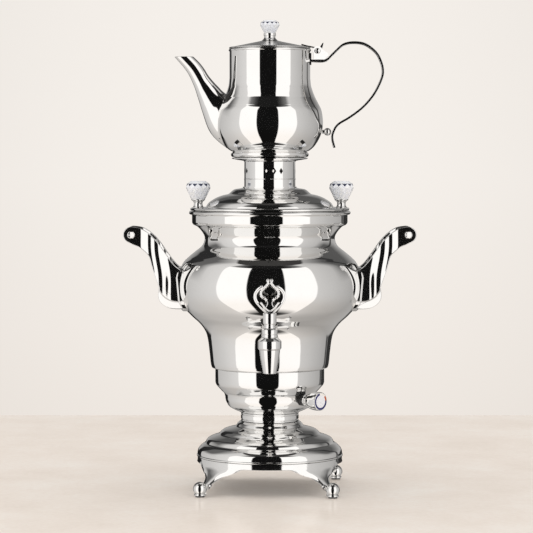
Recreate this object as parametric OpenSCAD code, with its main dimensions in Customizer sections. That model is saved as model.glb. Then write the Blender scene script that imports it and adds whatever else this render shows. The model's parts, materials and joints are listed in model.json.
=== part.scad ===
// Electric samovar with a teapot on its stand ring.
// Millimetres, +Z up, the tap faces -Y, the origin is on the axis at table height.

/* [Base] */
// Outer radius of the base skirt
base_r = 82; // [76:1:88]
// Height of the seam between the skirt and the domed base
seam_h = 37; // [35:1:42]
// Height of the domed base above that seam
dome_h = 40; // [34:1:48]
// How far the middle of a foot stands out from the skirt
foot_out = 22; // [20:0.5:30]
// Radius of a ball foot
foot_ball_r = 7.6; // [7:0.1:9]
// Turn of the feet against the tap, in degrees
base_turn = -3; // [-10:1:10]
// Thickness of the plastic pad under a foot
pad_t = 1.5; // [1:0.1:2.5]
// Wall of the cast skirt and legs
skirt_wall = 3; // [2.5:0.1:4]
// Thickness of the base plate
base_plate_t = 1.5; // [1:0.1:2.5]
// Radius of the tie rod
tie_r = 4; // [3:0.5:5]

/* [Heater housing] */
// Radius of the neck collar
collar_r = 32.8; // [30:0.1:36]
// Height of the neck collar
collar_h = 10; // [8:1:16]
// Radius of the straight band of the housing
bowl_r = 61.8; // [58:0.1:65]
// Height of the heater housing
bowl_h = 50; // [46:1:58]
// Radius of the regulator knob
knob_r = 10.4; // [9:0.1:12]
// Length of the regulator knob without its neck
knob_len = 18; // [14:1:24]
// Radius of the spindle between thermostat and knob
spindle_r = 3; // [2.5:0.1:3.5]
// Outer radius of the heating ring
heat_ring_r = 36; // [32:1:40]
// Radius of the heating element's tube
heat_tube_r = 3.5; // [3:0.1:4.2]

/* [Tank] */
// Height of the tank from its floor to the top of its rolled rim
tank_h = 178.5; // [165:0.5:195]
// Radius of the tank at its foot
tank_foot_r = 66.5; // [65.5:0.1:70]
// Radius of the bulb
bulb_r = 104.7; // [100:0.1:110]
// Radius of the throat
throat_r = 73.6; // [70:0.1:78]
// Radius of the straight band under the rim
rim_r = 88; // [85:0.1:92]
// Wall of the tank and of every spun shell
wall = 1; // [0.8:0.1:1.4]

/* [Tap] */
// Gap between the tank's bulb and the key when it's turned towards it
key_room = 2.5; // [1:0.1:12]
// Height of the tap's pipe above the tank floor
pipe_h = 37; // [33:1:41]
// Outer radius of the tap's pipe
pipe_r = 6; // [5.5:0.1:6.5]
// Radius of the tap body
tap_r = 12.7; // [12:0.1:14]
// Radius of the ported plug
plug_r = 5.5; // [5:0.1:5.8]
// Length of the tap's nozzle
nozzle_len = 25.7; // [20:0.1:28]
// Half the width of the pierced key
key_half = 17.8; // [16:0.1:20]
// Thickness of the pierced key
key_t = 4; // [3:0.5:5]

/* [Side handles] */
// Distance from the axis to the screw in the handle's tip
grip_reach = 155.5; // [150:0.5:162]
// Height of that screw above the tank floor
grip_h = 151.7; // [146:0.1:158]
// Radius of the grip bar
grip_r = 8.3; // [7:0.1:8.8]
// Width of a handle over its two arms
handle_w = 54; // [48:1:60]
// Thickness of one arm
arm_t = 5; // [4:0.5:6]
// Thickness of the flange on the tank
flange_t = 5; // [4:0.5:7]

/* [Tank lid] */
// Radius of the lid's flange
lid_r = 90; // [89.5:0.1:94]
// Height of the lid's dome
lid_h = 25.5; // [22:0.5:30]
// Radius at which the lid's dome starts
lid_dome_r = 72; // [70:0.5:74]
// Distance from the axis to a lid knob
lid_knob_reach = 81; // [79:0.5:82]
// Largest radius of a lid crystal
crystal_r = 13.9; // [12:0.1:15]
// Radius of the stand ring
ring_r = 28.9; // [26:0.1:32]
// Height of the stand ring
ring_h = 29.5; // [26:0.5:34]

/* [Teapot] */
// Height of the pot from the bottom of its foot ring to its rim
pot_h = 122.7; // [116:0.1:130]
// Radius of the pot's bulb
pot_bulb_r = 60; // [57:0.1:62]
// Radius of the pot's straight neck
pot_neck_r = 45.6; // [44:0.1:48]
// Radius of the pot's foot ring
pot_foot_r = 44.1; // [42.5:0.1:46]
// Height of the pot's foot ring
pot_foot_h = 7.3; // [6.5:0.1:9]
// Width of the pot's strap handle
strap_w = 12; // [9:0.5:14]
// Thickness of the strap handle
strap_t = 2.6; // [1.6:0.1:3]
// Radius of the hinge pin
pin_r = 1.6; // [1.2:0.1:2]
// Height of the pot lid's cone
pot_lid_h = 9; // [7:0.5:12]

/* [Hidden] */
$fn = 96;
far = 400;
run_gap = 0.05;
lift_gap = 0.3;
seat_gap = 0.05;

foot_circle_r = base_r + foot_out;
tap_reach = bulb_r + key_half + key_room;

// Heights of the stack
z_plate = seam_h - 4;
z_neck = seam_h + dome_h;
z_bowl = z_neck + collar_h;
z_tank = z_bowl + bowl_h;
z_rim = z_tank + tank_h;
z_lid = z_rim + lift_gap;
z_ring = z_lid + lid_h;
z_seat = z_ring + ring_h;
seat_h = 4.2;
z_pot = z_seat + seat_h + lift_gap;
z_pot_rim = z_pot + pot_h;

// Regulator, 45 degrees to the right of the tap
reg_turn = 45;
reg_z = z_bowl + 17.5;
reg_wall_r = 50.7;
bush_r = 5;
reg_collar_r = 6.6;
reg_collar_end = reg_wall_r + 6.3;
knob_start = reg_collar_end + lift_gap;
knob_neck = 4.7;
dial_t = 0.8;

// Heater under the tank floor
plate_t = 3;
plate_r = 50;
z_plate_low = z_tank - seat_gap - plate_t;
boss_r = 9;
boss_h = 12;
tie_end = z_plate_low - 2;
element_z = z_plate_low - heat_tube_r;
cold_end_z = element_z - 13;

// Appliance inlet at the back
inlet_w = 30;
inlet_h = 22;
inlet_z = z_bowl + 27;
inlet_in = 40;
inlet_out = bowl_r + 3.2;

// Tap
pipe_z = z_tank + pipe_h;
tap_low = pipe_z - 6;
tap_top = pipe_z + 7;
cap_top = pipe_z + 17;
key_boss_top = pipe_z + 33.7;
port_r = 3.2;
stem_r = 5;
tap_neck_r = 6.9;
cap_r = 8.7;
branch_r = pipe_r + 1.1;
socket_start = tap_reach - 9;

// Side handles
arm_in = handle_w / 2 - arm_t;
flange_mid = z_tank + 90;
flange_half_h = 24.5;
bolt_r = 2.5;
bolt_zs = [flange_mid - 11, flange_mid + 11];
boss_reach = bulb_r + 13;

// Tank lid and its knobs
flange_top = z_lid + 2.9;
knob_shank_r = 2;

// Teapot
pin_x = 53.9;
pin_z = z_pot_rim - 2.6;
knuckle_r = 3.4;
ear_gap = 3.6;
ear_t = 1.6;

// Blend between two numbers
function mix(a, b, t) = a + (b - a) * t;

// Points of a unit shape t placed between point a and point b
function span(a, b, ts) = [for (t = ts) [mix(a[0], b[0], t[0]), mix(a[1], b[1], t[1])]];

// One point of the Catmull-Rom curve between b and c
function curve_point(a, b, c, d, t) =
    0.5 * (2 * b + (c - a) * t + (2 * a - 5 * b + 4 * c - d) * t * t + (3 * b - a - 3 * c + d) * t * t * t);

// Smooth curve through all points of p, with n steps in each span
function curve(p, n = 3) = [
    for (i = [0:len(p) - 2]) for (k = [0:n - 1])
        curve_point(p[max(i - 1, 0)], p[i], p[i + 1], p[min(i + 2, len(p) - 1)], k / n),
    p[len(p) - 1]
];

// Curve p moved by w to its left, which is inwards for a profile that climbs outside the axis
function inset(p, w) = [
    for (i = [0:len(p) - 1])
        let (d = p[min(i + 1, len(p) - 1)] - p[max(i - 1, 0)])
        p[i] + w * [-d[1], d[0]] / norm(d)
];
function back(p) = [for (i = [len(p) - 1:-1:0]) p[i]];
function flip(p) = [for (q = back(p)) [-q[0], q[1]]];

// Points on a circle's arc from angle a0 to a1
function arc(c, r, a0, a1, n = 8) = [for (i = [0:n]) c + r * [cos(mix(a0, a1, i / n)), sin(mix(a0, a1, i / n))]];

// Band of width w along a line of points
module stroke(p, w) {
    polygon(concat(inset(p, w / 2), back(inset(p, -w / 2))));
}

// Spun shell with the outside p and wall w
module spun(p, w = wall) {
    rotate_extrude() polygon(concat(p, back(inset(p, w))));
}

// Ring from radius r0 to r1 and height z0 to z1
module ring(r0, r1, z0, z1) {
    translate([0, 0, z0]) difference() {
        cylinder(r = r1, h = z1 - z0);
        translate([0, 0, -1]) cylinder(r = r0, h = z1 - z0 + 2);
    }
}

// Rod along a horizontal line at the front, from radius y0 to y1 off the axis
module rod_front(r, y0, y1, z) {
    translate([0, -y0, z]) rotate([90, 0, 0]) cylinder(r = r, h = y1 - y0);
}

// Rod along +X at height z, from x0 to x1
module rod_side(r, x0, x1, z) {
    translate([x0, 0, z]) rotate([0, 90, 0]) cylinder(r = r, h = x1 - x0);
}

// Outline of the domed base: three convex rolls
function dome_outline() = let (z = seam_h, h = dome_h / 40, b = base_r + 0.3) concat(
    curve([[b, z], [b - 0.2, z + 5 * h], [b - 1.6, z + 9 * h], [b - 5.3, z + 12.8 * h], [b - 8.5, z + 14.8 * h]]),
    curve([[b - 9.2, z + 15.4 * h], [b - 11.6, z + 19.6 * h], [b - 15.5, z + 21.9 * h],
        [b - 23.7, z + 24.6 * h]]),
    curve([[b - 25, z + 25.6 * h], [b - 28, z + 28.7 * h], [b - 31.9, z + 30.9 * h],
        [collar_r + 6.4, z + 33.7 * h]]),
    curve([[collar_r + 5.4, z + 34.8 * h], [collar_r + 3.4, z + 37.7 * h], [collar_r + 0.4, z + dome_h]])
);

// Outline of the heater housing, from its floor to its mouth
function bowl_outline() = let (z = z_bowl, b = bowl_r - 61.8) concat(
    curve([[collar_r, z], [collar_r + 3.4, z + 1.5], [40.5, z + 3.4], [45.8, z + 6.4], [48.6, z + 10.4],
        [50.1, z + 14], [reg_wall_r, z + 18], [51.8 + b / 4, z + 21.7], [54.3 + b / 2, z + 24.2],
        [58.3 + b, z + 28.5], [60.9 + b, z + 31.6], [bowl_r, z + 34.5]]),
    [[bowl_r, z_tank - 0.2]]
);

// Outline of the tank from its floor's corner to the straight band under the rim
tank_foot = [tank_foot_r, z_tank + 3.5];
tank_bulb = [bulb_r, z_tank + 0.526 * tank_h];
tank_throat = [throat_r, z_tank + 0.826 * tank_h];
tank_band = [rim_r, z_tank + 0.926 * tank_h];
bead_r = 2.2;
function tank_outline() = concat(
    curve(concat(
        [[tank_foot_r - 4.5, z_tank], [tank_foot_r - 1.1, z_tank + 0.9], tank_foot],
        span(tank_foot, tank_bulb, [[0.02, 0.05], [0.05, 0.174], [0.097, 0.324], [0.168, 0.425],
            [0.332, 0.524], [0.586, 0.624], [0.798, 0.724], [0.955, 0.856]]),
        [tank_bulb],
        span(tank_bulb, tank_throat, [[0.055, 0.234], [0.2, 0.464], [0.392, 0.591], [0.653, 0.718],
            [0.907, 0.845]]),
        [tank_throat],
        span(tank_throat, tank_band, [[0.18, 0.371], [0.549, 0.714], [0.889, 0.863]]),
        [tank_band]
    )),
    [[rim_r, z_rim - 2 * bead_r - 0.6]]
);

// Part of an outline between two heights
function between(p, low, high) = [for (q = p) if (q[1] > low && q[1] < high) q];
function radius_at(p, z) = lookup(z, [for (q = p) [q[1], q[0]]]);

// Solid inside the tank's outline between two heights, grown by g
module tank_solid(g, low, high) {
    p = inset(between(tank_outline(), low, high), -g);
    rotate_extrude() polygon(concat([[0, p[0][1]]], p, [[0, p[len(p) - 1][1]]]));
}

// Base

module foot_pads() {
    color("dimgray") for (a = [45:90:315]) rotate(base_turn + a)
        translate([foot_circle_r, 0, 0]) cylinder(r = foot_ball_r - 2.6, h = pad_t);
}

// Side view of the skirt where it flares out into a leg
function leg_outline() = let (f = foot_circle_r, b = base_r)
    curve([[f - 2.6, 9.5], [f - 5.4, 12], [f - 8.8, 14.9], [f - 12.4, 18], [b + 6, 21.6], [b + 3.2, 25.4],
        [b + 1, 29.4], [b, seam_h - 3]]);

// Front view of one leg, half of it, widening into the arches
function leg_half() = curve([[5.2, 4], [5.6, 9.5], [6.2, 12.5], [7.8, 15.4], [10.6, 18.6], [15.2, 21.4],
    [21.5, 23.4], [26.5, 25.8], [33, 30.2], [38, 31.2]]);

module base_ring() {
    p = leg_outline();
    color("silver") rotate(base_turn) {
        intersection() {
            union() {
                rotate_extrude() polygon(concat(p, back(inset(p, skirt_wall))));
                ring(base_r - skirt_wall, base_r, seam_h - 5, seam_h);
                ring(base_r - skirt_wall - 4, base_r - 1, z_plate + base_plate_t, seam_h);
            }
            union() {
                ring(base_r - 20, base_r + 2, 31, seam_h + 1);
                for (a = [45:90:315]) rotate(a - 90) translate([0, foot_circle_r + 2, 0]) rotate([90, 0, 0])
                    linear_extrude(foot_circle_r - base_r + 30)
                        polygon(concat(leg_half(), [[38, seam_h], [-38, seam_h]], flip(leg_half())));
            }
        }
        for (a = [45:90:315]) rotate(a) difference() {
            translate([foot_circle_r, 0, foot_ball_r - 0.3]) sphere(r = foot_ball_r);
            translate([foot_circle_r, 0, pad_t - far]) cylinder(r = far / 4, h = far);
        }
    }
}

module base_plate() {
    color("silver") ring(tie_r + 0.3, base_r - skirt_wall - 0.4, z_plate, z_plate + base_plate_t);
}

module base_dome() {
    color("silver") {
        spun(dome_outline());
        ring(tie_r + 0.3, collar_r, z_neck - 1.2, z_neck);
    }
}

module neck_collar() {
    bead = 1.1;
    color("silver") difference() {
        union() {
            ring(collar_r - 3, collar_r - 0.6, z_neck, z_bowl);
            for (z = [z_neck + bead, z_bowl - bead]) translate([0, 0, z]) rotate_extrude()
                translate([collar_r - bead, 0]) circle(r = bead, $fn = 24);
            ring(collar_r - 3, collar_r, z_neck + 2 * bead + 0.7, z_bowl - 2 * bead - 0.7);
        }
    }
}

module tie_rod() {
    color("gray") translate([0, 0, z_plate - 6.5]) cylinder(r = tie_r, h = tie_end - z_plate + 6.5);
}

module tie_washer() {
    color("silver") ring(tie_r + 0.3, 2.4 * tie_r, z_plate - 1.2, z_plate);
}

module tie_nut() {
    color("gray") difference() {
        translate([0, 0, z_plate - 6]) cylinder(r = 1.8 * tie_r, h = 4.8, $fn = 6);
        translate([0, 0, z_plate - 7]) cylinder(r = tie_r, h = 8);
    }
}

// Heater housing and what it holds

module at_regulator() {
    rotate(reg_turn) translate([0, 0, reg_z]) rotate([90, 0, 0]) children();
}

module inlet_block(g = 0) {
    translate([-inlet_w / 2 - g, inlet_in, inlet_z - inlet_h / 2 - g])
        cube([inlet_w + 2 * g, inlet_out - inlet_in, inlet_h + 2 * g]);
}

module heater_housing() {
    color("silver") difference() {
        union() {
            spun(bowl_outline());
            ring(tie_r + 0.3, collar_r + 1, z_bowl, z_bowl + 1.2);
        }
        at_regulator() translate([0, 0, reg_wall_r - 8]) cylinder(r = bush_r + 0.1, h = 20);
        inlet_block(0.1);
    }
}

module tank() {
    p = tank_outline();
    bead_at = [rim_r + bead_r - wall, z_rim - bead_r];
    color("silver") difference() {
        union() {
            spun(p);
            translate([0, 0, z_tank]) cylinder(r = tank_foot_r - 2.6, h = 1.2);
            rotate_extrude() polygon(concat(
                [[rim_r - wall, z_rim - 2 * bead_r - 1], [rim_r, z_rim - 2 * bead_r - 1]],
                arc(bead_at, bead_r, -110, 90, 12), [[rim_r - wall, z_rim]]));
        }
        rod_front(pipe_r + run_gap, tank_foot_r - 20, rose_face + 10, pipe_z);
        for (s = [-1, 1], z = bolt_zs)
            translate([s * (bulb_r - 4), 0, z]) rotate([0, 90, 0]) cylinder(r = bolt_r + 0.1, h = 40, center = true);
    }
}

module heater_plate() {
    color("lightgray") difference() {
        union() {
            translate([0, 0, z_plate_low]) cylinder(r = plate_r, h = plate_t);
            translate([0, 0, z_plate_low - boss_h]) cylinder(r = boss_r, h = boss_h + 1);
        }
        translate([0, 0, z_plate_low - boss_h - 1]) cylinder(r = tie_r, h = tie_end - z_plate_low + boss_h + 1);
    }
}

// The ring is open over the gap between its two cold ends, which bend down into that gap
gap_turn = 20;
element_bend = 7;
cold_ends = [for (s = [1, -1]) let (a = s * gap_turn)
    heat_ring_r * [cos(a), sin(a)] + s * element_bend * [sin(a), -cos(a)]];
module element_end() {
    translate([heat_ring_r, 0, element_z - element_bend]) {
        rotate([0, -90, 0]) rotate(-8) rotate_extrude(angle = 98) translate([element_bend, 0])
            circle(r = heat_tube_r - 0.3);
        translate([0, element_bend, cold_end_z - element_z + element_bend])
            cylinder(r = heat_tube_r, h = element_z - element_bend - cold_end_z + 0.8);
    }
}

module heating_element() {
    color("dimgray") {
        rotate(gap_turn) translate([0, 0, element_z])
            rotate_extrude(angle = 360 - 2 * gap_turn) translate([heat_ring_r, 0]) circle(r = heat_tube_r);
        rotate(-gap_turn) element_end();
        mirror([0, 1, 0]) rotate(-gap_turn) element_end();
    }
}

cutout_reach = (boss_r + heat_ring_r - heat_tube_r) / 2;
module thermal_cutout() {
    color("black") rotate(150) translate([cutout_reach, 0, z_plate_low - 6]) cylinder(r = 8, h = 6);
}

thermo_start = 16;
thermo_len = 20;
thermo_r = 12.5;
module thermostat() {
    color("black") at_regulator() difference() {
        union() {
            translate([0, 0, thermo_start]) cylinder(r = thermo_r, h = thermo_len);
            translate([0, 0, thermo_start]) cylinder(r = bush_r, h = reg_collar_end - 0.5 - thermo_start);
        }
        translate([0, 0, thermo_start + 8]) cylinder(r = spindle_r + run_gap, h = 60);
    }
}

module regulator_collar() {
    color("black") difference() {
        at_regulator() difference() {
            translate([0, 0, reg_wall_r - 3]) cylinder(r = reg_collar_r, h = reg_collar_end - reg_wall_r + 3);
            translate([0, 0, reg_wall_r - 4]) cylinder(r = bush_r, h = 20);
        }
        rotate_extrude() polygon(concat([[0, z_bowl]], inset(bowl_outline(), -seat_gap), [[0, z_tank]]));
    }
}

spindle_end = knob_start + knob_neck + knob_len - 5;
module regulator_spindle() {
    color("gray") at_regulator() translate([0, 0, thermo_start + 8.5])
        cylinder(r = spindle_r, h = spindle_end - thermo_start - 8.5);
}

module regulator_knob() {
    front = knob_start + knob_neck + knob_len;
    grip = knob_start + knob_neck;
    color("silver") at_regulator() difference() {
        rotate_extrude() polygon(concat(
            [[0, knob_start], [6.8, knob_start], [6.8, knob_start + 1.6], [6.2, knob_start + 2],
                [6.8, knob_start + 2.4], [6.8, grip - 0.3], [knob_r - 0.8, grip]],
            [[knob_r, grip + 0.8], [knob_r, grip + 4]],
            [[knob_r - 0.4, grip + 4.4], [knob_r - 0.4, grip + 5.4], [knob_r, grip + 5.8]],
            arc([knob_r - 1.2, front - 1.2], 1.2, 0, 90, 4), [[0, front]]));
        translate([0, 0, knob_start - 1]) cylinder(r = spindle_r, h = spindle_end - knob_start + 1);
        translate([0, 0, front - dial_t]) cylinder(r = knob_r - 0.9, h = dial_t + 1);
        translate([0, 0, knob_start + 3.4]) rotate([-90, 0, 0]) cylinder(r = 1.1, h = 12);
    }
}

module regulator_dial() {
    color("white") at_regulator() translate([0, 0, knob_start + knob_neck + knob_len - dial_t])
        cylinder(r = knob_r - 0.95, h = dial_t);
}

module knob_grub_screw() {
    color("gray") at_regulator() translate([0, spindle_r, knob_start + 3.4]) rotate([-90, 0, 0])
        cylinder(r = 1.1, h = 3.2);
}

// The bezel stands off the wall, with its cavity open to the back
cavity_w = 22;
cavity_h = 15;
cavity_depth = 15;
module power_inlet() {
    color("black") difference() {
        union() {
            inlet_block();
            translate([-inlet_w / 2 - 2, bowl_r + 0.4, inlet_z - inlet_h / 2 - 2])
                cube([inlet_w + 4, inlet_out - bowl_r - 0.4, inlet_h + 4]);
        }
        translate([-cavity_w / 2, inlet_out - cavity_depth, inlet_z - cavity_h / 2])
            cube([cavity_w, cavity_depth + 1, cavity_h]);
        inlet_pin_set();
    }
}

module inlet_pin_set() {
    for (x = [-7, 0, 7])
        translate([x - 1, inlet_in - 5, inlet_z + (x == 0 ? 2 : 0)]) cube([2, inlet_out - inlet_in + 5 - 4, 4]);
}

module inlet_pins() {
    color("gold") inlet_pin_set();
}

// Lead through points p, joined by slightly larger balls at its bends
module lead(p, r = 1.3) {
    for (i = [0:len(p) - 2]) {
        d = p[i + 1] - p[i];
        translate(p[i]) rotate([0, acos(d[2] / norm(d)), atan2(d[1], d[0])]) cylinder(r = r, h = norm(d), $fn = 10);
    }
    for (i = [1:len(p) - 2]) translate(p[i]) sphere(r = 1.15 * r, $fn = 10);
}

module inner_leads() {
    cold_z = cold_end_z - 0.3;
    side = (thermo_r + seat_gap) * [sin(reg_turn), cos(reg_turn), 0];
    mid = (thermo_start + 8) * [sin(reg_turn), -cos(reg_turn), 0] + [0, 0, reg_z];
    pin_back = inlet_in - 5.3;
    color("white") {
        lead([[-7, pin_back, inlet_z + 2], [-7, 30, inlet_z + 2], [-20, 22, inlet_z - 2], [-20, -14, reg_z],
            mid - 1.5 * side, mid - side]);
        lead([mid + side, mid + 1.5 * side, concat(cold_ends[1], cold_z - 6), concat(cold_ends[1], cold_z)]);
        lead([[7, pin_back, inlet_z + 2], [7, 30, inlet_z + 2], concat(cold_ends[0], cold_z - 6),
            concat(cold_ends[0], cold_z)]);
    }
}

// Tap

module tap_pipe() {
    color("silver") difference() {
        rod_front(pipe_r, tank_foot_r - 11, socket_start, pipe_z);
        rod_front(port_r + 0.3, tank_foot_r - 12, socket_start + 1, pipe_z);
    }
}

rose_r = 10;
rose_t = 2.75;
gasket_t = 1.2;
rose_face = radius_at(tank_outline(), pipe_z + rose_r) + gasket_t + rose_t;
tap_zone = [pipe_z - 26, pipe_z + 26];
module tap_rose() {
    color("silver") difference() {
        rod_front(rose_r, tank_foot_r - 2, rose_face, pipe_z);
        tank_solid(gasket_t, tap_zone[0], tap_zone[1]);
        rod_front(pipe_r, tank_foot_r - 20, rose_face + 10, pipe_z);
    }
}

module tap_gaskets() {
    color("white") {
        difference() {
            intersection() {
                rod_front(rose_r - 0.4, tank_foot_r - 2, rose_face, pipe_z);
                tank_solid(gasket_t, tap_zone[0], tap_zone[1]);
            }
            tank_solid(0, tap_zone[0], tap_zone[1]);
            rod_front(pipe_r, tank_foot_r - 20, rose_face + 10, pipe_z);
        }
        difference() {
            intersection() {
                rod_front(rose_r - 0.4, tank_foot_r - 6, rose_face, pipe_z);
                tank_solid(-wall - seat_gap, tap_zone[0], tap_zone[1]);
            }
            rod_front(pipe_r, tank_foot_r - 20, rose_face + 10, pipe_z);
        }
    }
}

module tap_nut() {
    color("silver") difference() {
        translate([0, -(tank_foot_r - 12), pipe_z]) rotate([90, 0, 0]) cylinder(r = rose_r, h = 6, $fn = 6);
        rod_front(pipe_r, 40, 90, pipe_z);
    }
}

module at_tap() {
    translate([0, -tap_reach, 0]) children();
}

module tap_body() {
    color("silver") at_tap() difference() {
        union() {
            rotate_extrude() polygon([[0, tap_low], [tap_r - 1.2, tap_low], [tap_r, tap_low + 1.8],
                [tap_r, tap_top - 3.6], [tap_r - 0.7, tap_top - 2.6], [cap_r + 0.4, tap_top],
                [tap_neck_r, tap_top], [tap_neck_r, tap_top + 4], [0, tap_top + 4]]);
            translate([0, 0, pipe_z]) rotate([-90, 0, 0]) cylinder(r = branch_r, h = 16);
        }
        translate([0, 0, tap_low - 1]) cylinder(r = plug_r + run_gap, h = 20);
        translate([0, 0, pipe_z]) rotate([-90, 0, 0]) cylinder(r = port_r + 0.3, h = 20);
        translate([0, 9, pipe_z]) rotate([-90, 0, 0]) cylinder(r = pipe_r, h = 20);
    }
}

module tap_cap_nut() {
    color("silver") at_tap() difference() {
        rotate_extrude() polygon([[0, tap_top + 0.2], [cap_r - 0.5, tap_top + 0.2], [cap_r, tap_top + 0.8],
            [cap_r, cap_top - 1.2], [cap_r - 1.2, cap_top], [0, cap_top]]);
        translate([0, 0, tap_top - 1]) cylinder(r = tap_neck_r + run_gap, h = 5 + run_gap);
        translate([0, 0, tap_top - 1]) cylinder(r = plug_r + 0.4, h = cap_top - tap_top - 2.7);
        translate([0, 0, tap_top]) cylinder(r = stem_r + run_gap, h = 20);
    }
}

nozzle_bore_r = 4.5;
nozzle_tip_r = 7.2;
module tap_nozzle() {
    low = tap_low - nozzle_len;
    color("silver") at_tap() difference() {
        rotate_extrude() polygon([[0, low], [nozzle_tip_r - 0.5, low], [nozzle_tip_r, low + 0.5],
            [tap_r - 2.6, tap_low - 9], [tap_r - 1.7, tap_low - 2.2], [tap_r - 1.5, tap_low], [0, tap_low]]);
        translate([0, 0, low - 1]) cylinder(r = nozzle_bore_r, h = nozzle_len + 2);
        translate([0, 0, pipe_z]) rotate([-90, 0, 0]) cylinder(r = branch_r + seat_gap, h = 20);
    }
}

// At rest the port looks along +X, so the plug shuts the pipe; a quarter turn brings it to the pipe
module tap_plug() {
    plug_low = tap_low + 0.3;
    plug_top = cap_top - 4;
    color("gray") at_tap() difference() {
        union() {
            translate([0, 0, plug_low]) cylinder(r = plug_r, h = plug_top - plug_low);
            translate([0, 0, plug_low]) cylinder(r = stem_r, h = cap_top + 8 - plug_low);
        }
        translate([0, 0, plug_low - 1]) cylinder(r = port_r, h = pipe_z - plug_low + 1 + port_r);
        translate([0, 0, pipe_z]) rotate([0, 90, 0]) cylinder(r = port_r, h = 20);
    }
}

// Half of the pierced key, drawn in bars from its foot at the origin
module key_half_outline() {
    w = key_half - 1.5;
    stroke(curve([[-2.2, 35.2], [-3.4, 32.6], [-6.4, 30], [-9.6, 28.6], [-0.83 * w, 26.2], [-w, 20.4],
        [-0.95 * w, 14.6], [-0.8 * w, 10.4]]), 3);
    stroke(curve([[-9.6, 28.2], [-9, 23.2], [-6.2, 19.4], [-3.2, 15.4], [-3.1, 11], [-4.2, 6.6]]), 2.6);
    stroke([[-0.92 * w, 11.6], [-7.6, 5.6], [0.6, 0.4]], 2);
    stroke([[-0.66 * w, 11.4], [-5.4, 6.2], [0.6, 2.2]], 2.2);
    translate([-2.2, 35.4]) circle(r = 1.9, $fn = 24);
    translate([-9.4, 28.8]) circle(r = 2.1, $fn = 24);
    translate([-0.9 * w, 11.4]) circle(r = 1.7, $fn = 24);
    polygon([[0.1, 0], [-3.6, 6], [-2.6, 12.6], [0.1, 8.6]]);
}

module tap_key() {
    color("silver") at_tap() {
        translate([0, 0, key_boss_top]) rotate([90, 0, 0]) translate([0, 0, -key_t / 2])
            linear_extrude(key_t) {
                key_half_outline();
                mirror([1, 0]) key_half_outline();
            }
        difference() {
            rotate_extrude() polygon([[0, cap_top + 0.4], [6.6, cap_top + 0.4], [6.8, cap_top + 1.6],
                [6.2, cap_top + 3.2], [6.4, cap_top + 4.6], [7.3, cap_top + 5.6], [7.3, key_boss_top - 0.8],
                [6.6, key_boss_top + 0.4], [0, key_boss_top + 0.4]]);
            translate([0, 0, cap_top]) cylinder(r = stem_r, h = 8.2);
        }
    }
}

// Side handles

// Side view of one arm, as distance from the axis and height
function arm_outline() = let (g = [grip_reach, z_tank + grip_h], s = bulb_r, z = flange_mid) concat(
    arc(g, 9, 96, -52, 9),
    curve([g + [-2.6, -11.2], g + [-8.6, -13.6], g + [-14.4, -18.2], g + [-19.8, -24], g + [-22.4, -32.6],
        [s + 25.4, z + 19], [s + 21.6, z + 8.4], [s + 19.4, z + 1.6], [s + 20.6, z - 5], [s + 19.5, z - 11.6],
        [s + 15, z - 17], [s + 8.4, z - 20.4], [s + 1, z - 21.6], [s - 16, z - 21.6]]),
    [[s - 16, z + 22]],
    curve([[s - 5, z + 22], [s + 3, z + 28.6], [s + 12.4, z + 41], g + [-29.6, -8.2], g + [-20.4, 1.2],
        g + [-10.6, 7.2], g + [-0.94, 8.95]])
);

// Lower web that joins the two arms along the bottom edge
function web_line() = let (s = bulb_r, z = flange_mid)
    curve([[s + 19.4, z + 4], [s + 20.4, z - 5], [s + 19.3, z - 11.6], [s + 14.8, z - 16.8], [s + 8.2, z - 20.2],
        [s - 4, z - 21.4]]);

module flange_prism(x0, x1) {
    translate([x0, 0, flange_mid]) rotate([90, 0, 90]) linear_extrude(x1 - x0) {
        square([handle_w - 12, 2 * flange_half_h], center = true);
        square([handle_w + 4, 2 * flange_half_h - 20], center = true);
        for (x = [-1, 1], y = [-1, 1])
            translate([x * (handle_w / 2 - 8), y * (flange_half_h - 10)]) circle(r = 10);
    }
}

module side_handle() {
    zone = [flange_mid - 34, flange_mid + 34];
    color("silver") difference() {
        union() {
            for (y = [-handle_w / 2, arm_in]) translate([0, y + arm_t, 0]) rotate([90, 0, 0])
                linear_extrude(arm_t) polygon(arm_outline());
            translate([0, handle_w / 2, 0]) rotate([90, 0, 0]) linear_extrude(handle_w)
                polygon(concat(web_line(), back(inset(web_line(), -3))));
            intersection() {
                flange_prism(bulb_r - 20, bulb_r + 20);
                tank_solid(flange_t, zone[0], zone[1]);
            }
            for (z = bolt_zs) rod_side(6, bulb_r - 6, boss_reach, z);
        }
        tank_solid(seat_gap, zone[0], zone[1]);
        for (z = bolt_zs) rod_side(bolt_r, bulb_r - 10, boss_reach - 3, z);
        translate([grip_reach, handle_w, z_tank + grip_h]) rotate([90, 0, 0]) cylinder(r = 2.1, h = 2 * handle_w);
    }
}

module right_handle() {
    side_handle();
}

module left_handle() {
    mirror([1, 0, 0]) side_handle();
}

module both_sides() {
    children();
    mirror([1, 0, 0]) children();
}

module handle_grips() {
    color("black") both_sides() difference() {
        translate([grip_reach, arm_in, z_tank + grip_h]) rotate([90, 0, 0]) cylinder(r = grip_r, h = 2 * arm_in);
        for (s = [-1, 1]) translate([grip_reach, s * arm_in, z_tank + grip_h]) rotate([90, 0, 0])
            cylinder(r = 2, h = 24, center = true);
    }
}

module grip_screws() {
    half = handle_w / 2;
    color("silver") both_sides() for (s = [0, 180]) translate([grip_reach, 0, z_tank + grip_h]) rotate(s)
        translate([0, -half, 0]) rotate([90, 0, 0]) difference() {
            union() {
                translate([0, 0, -arm_t - 10]) cylinder(r = 2, h = arm_t + 11);
                rotate_extrude() polygon(concat([[0, 0], [4.2, 0]], curve([[4.2, 0.6], [3.4, 1.5], [0, 2.1]])));
            }
            translate([-5, -0.5, 1.4]) cube([10, 1, 2]);
        }
}

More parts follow.
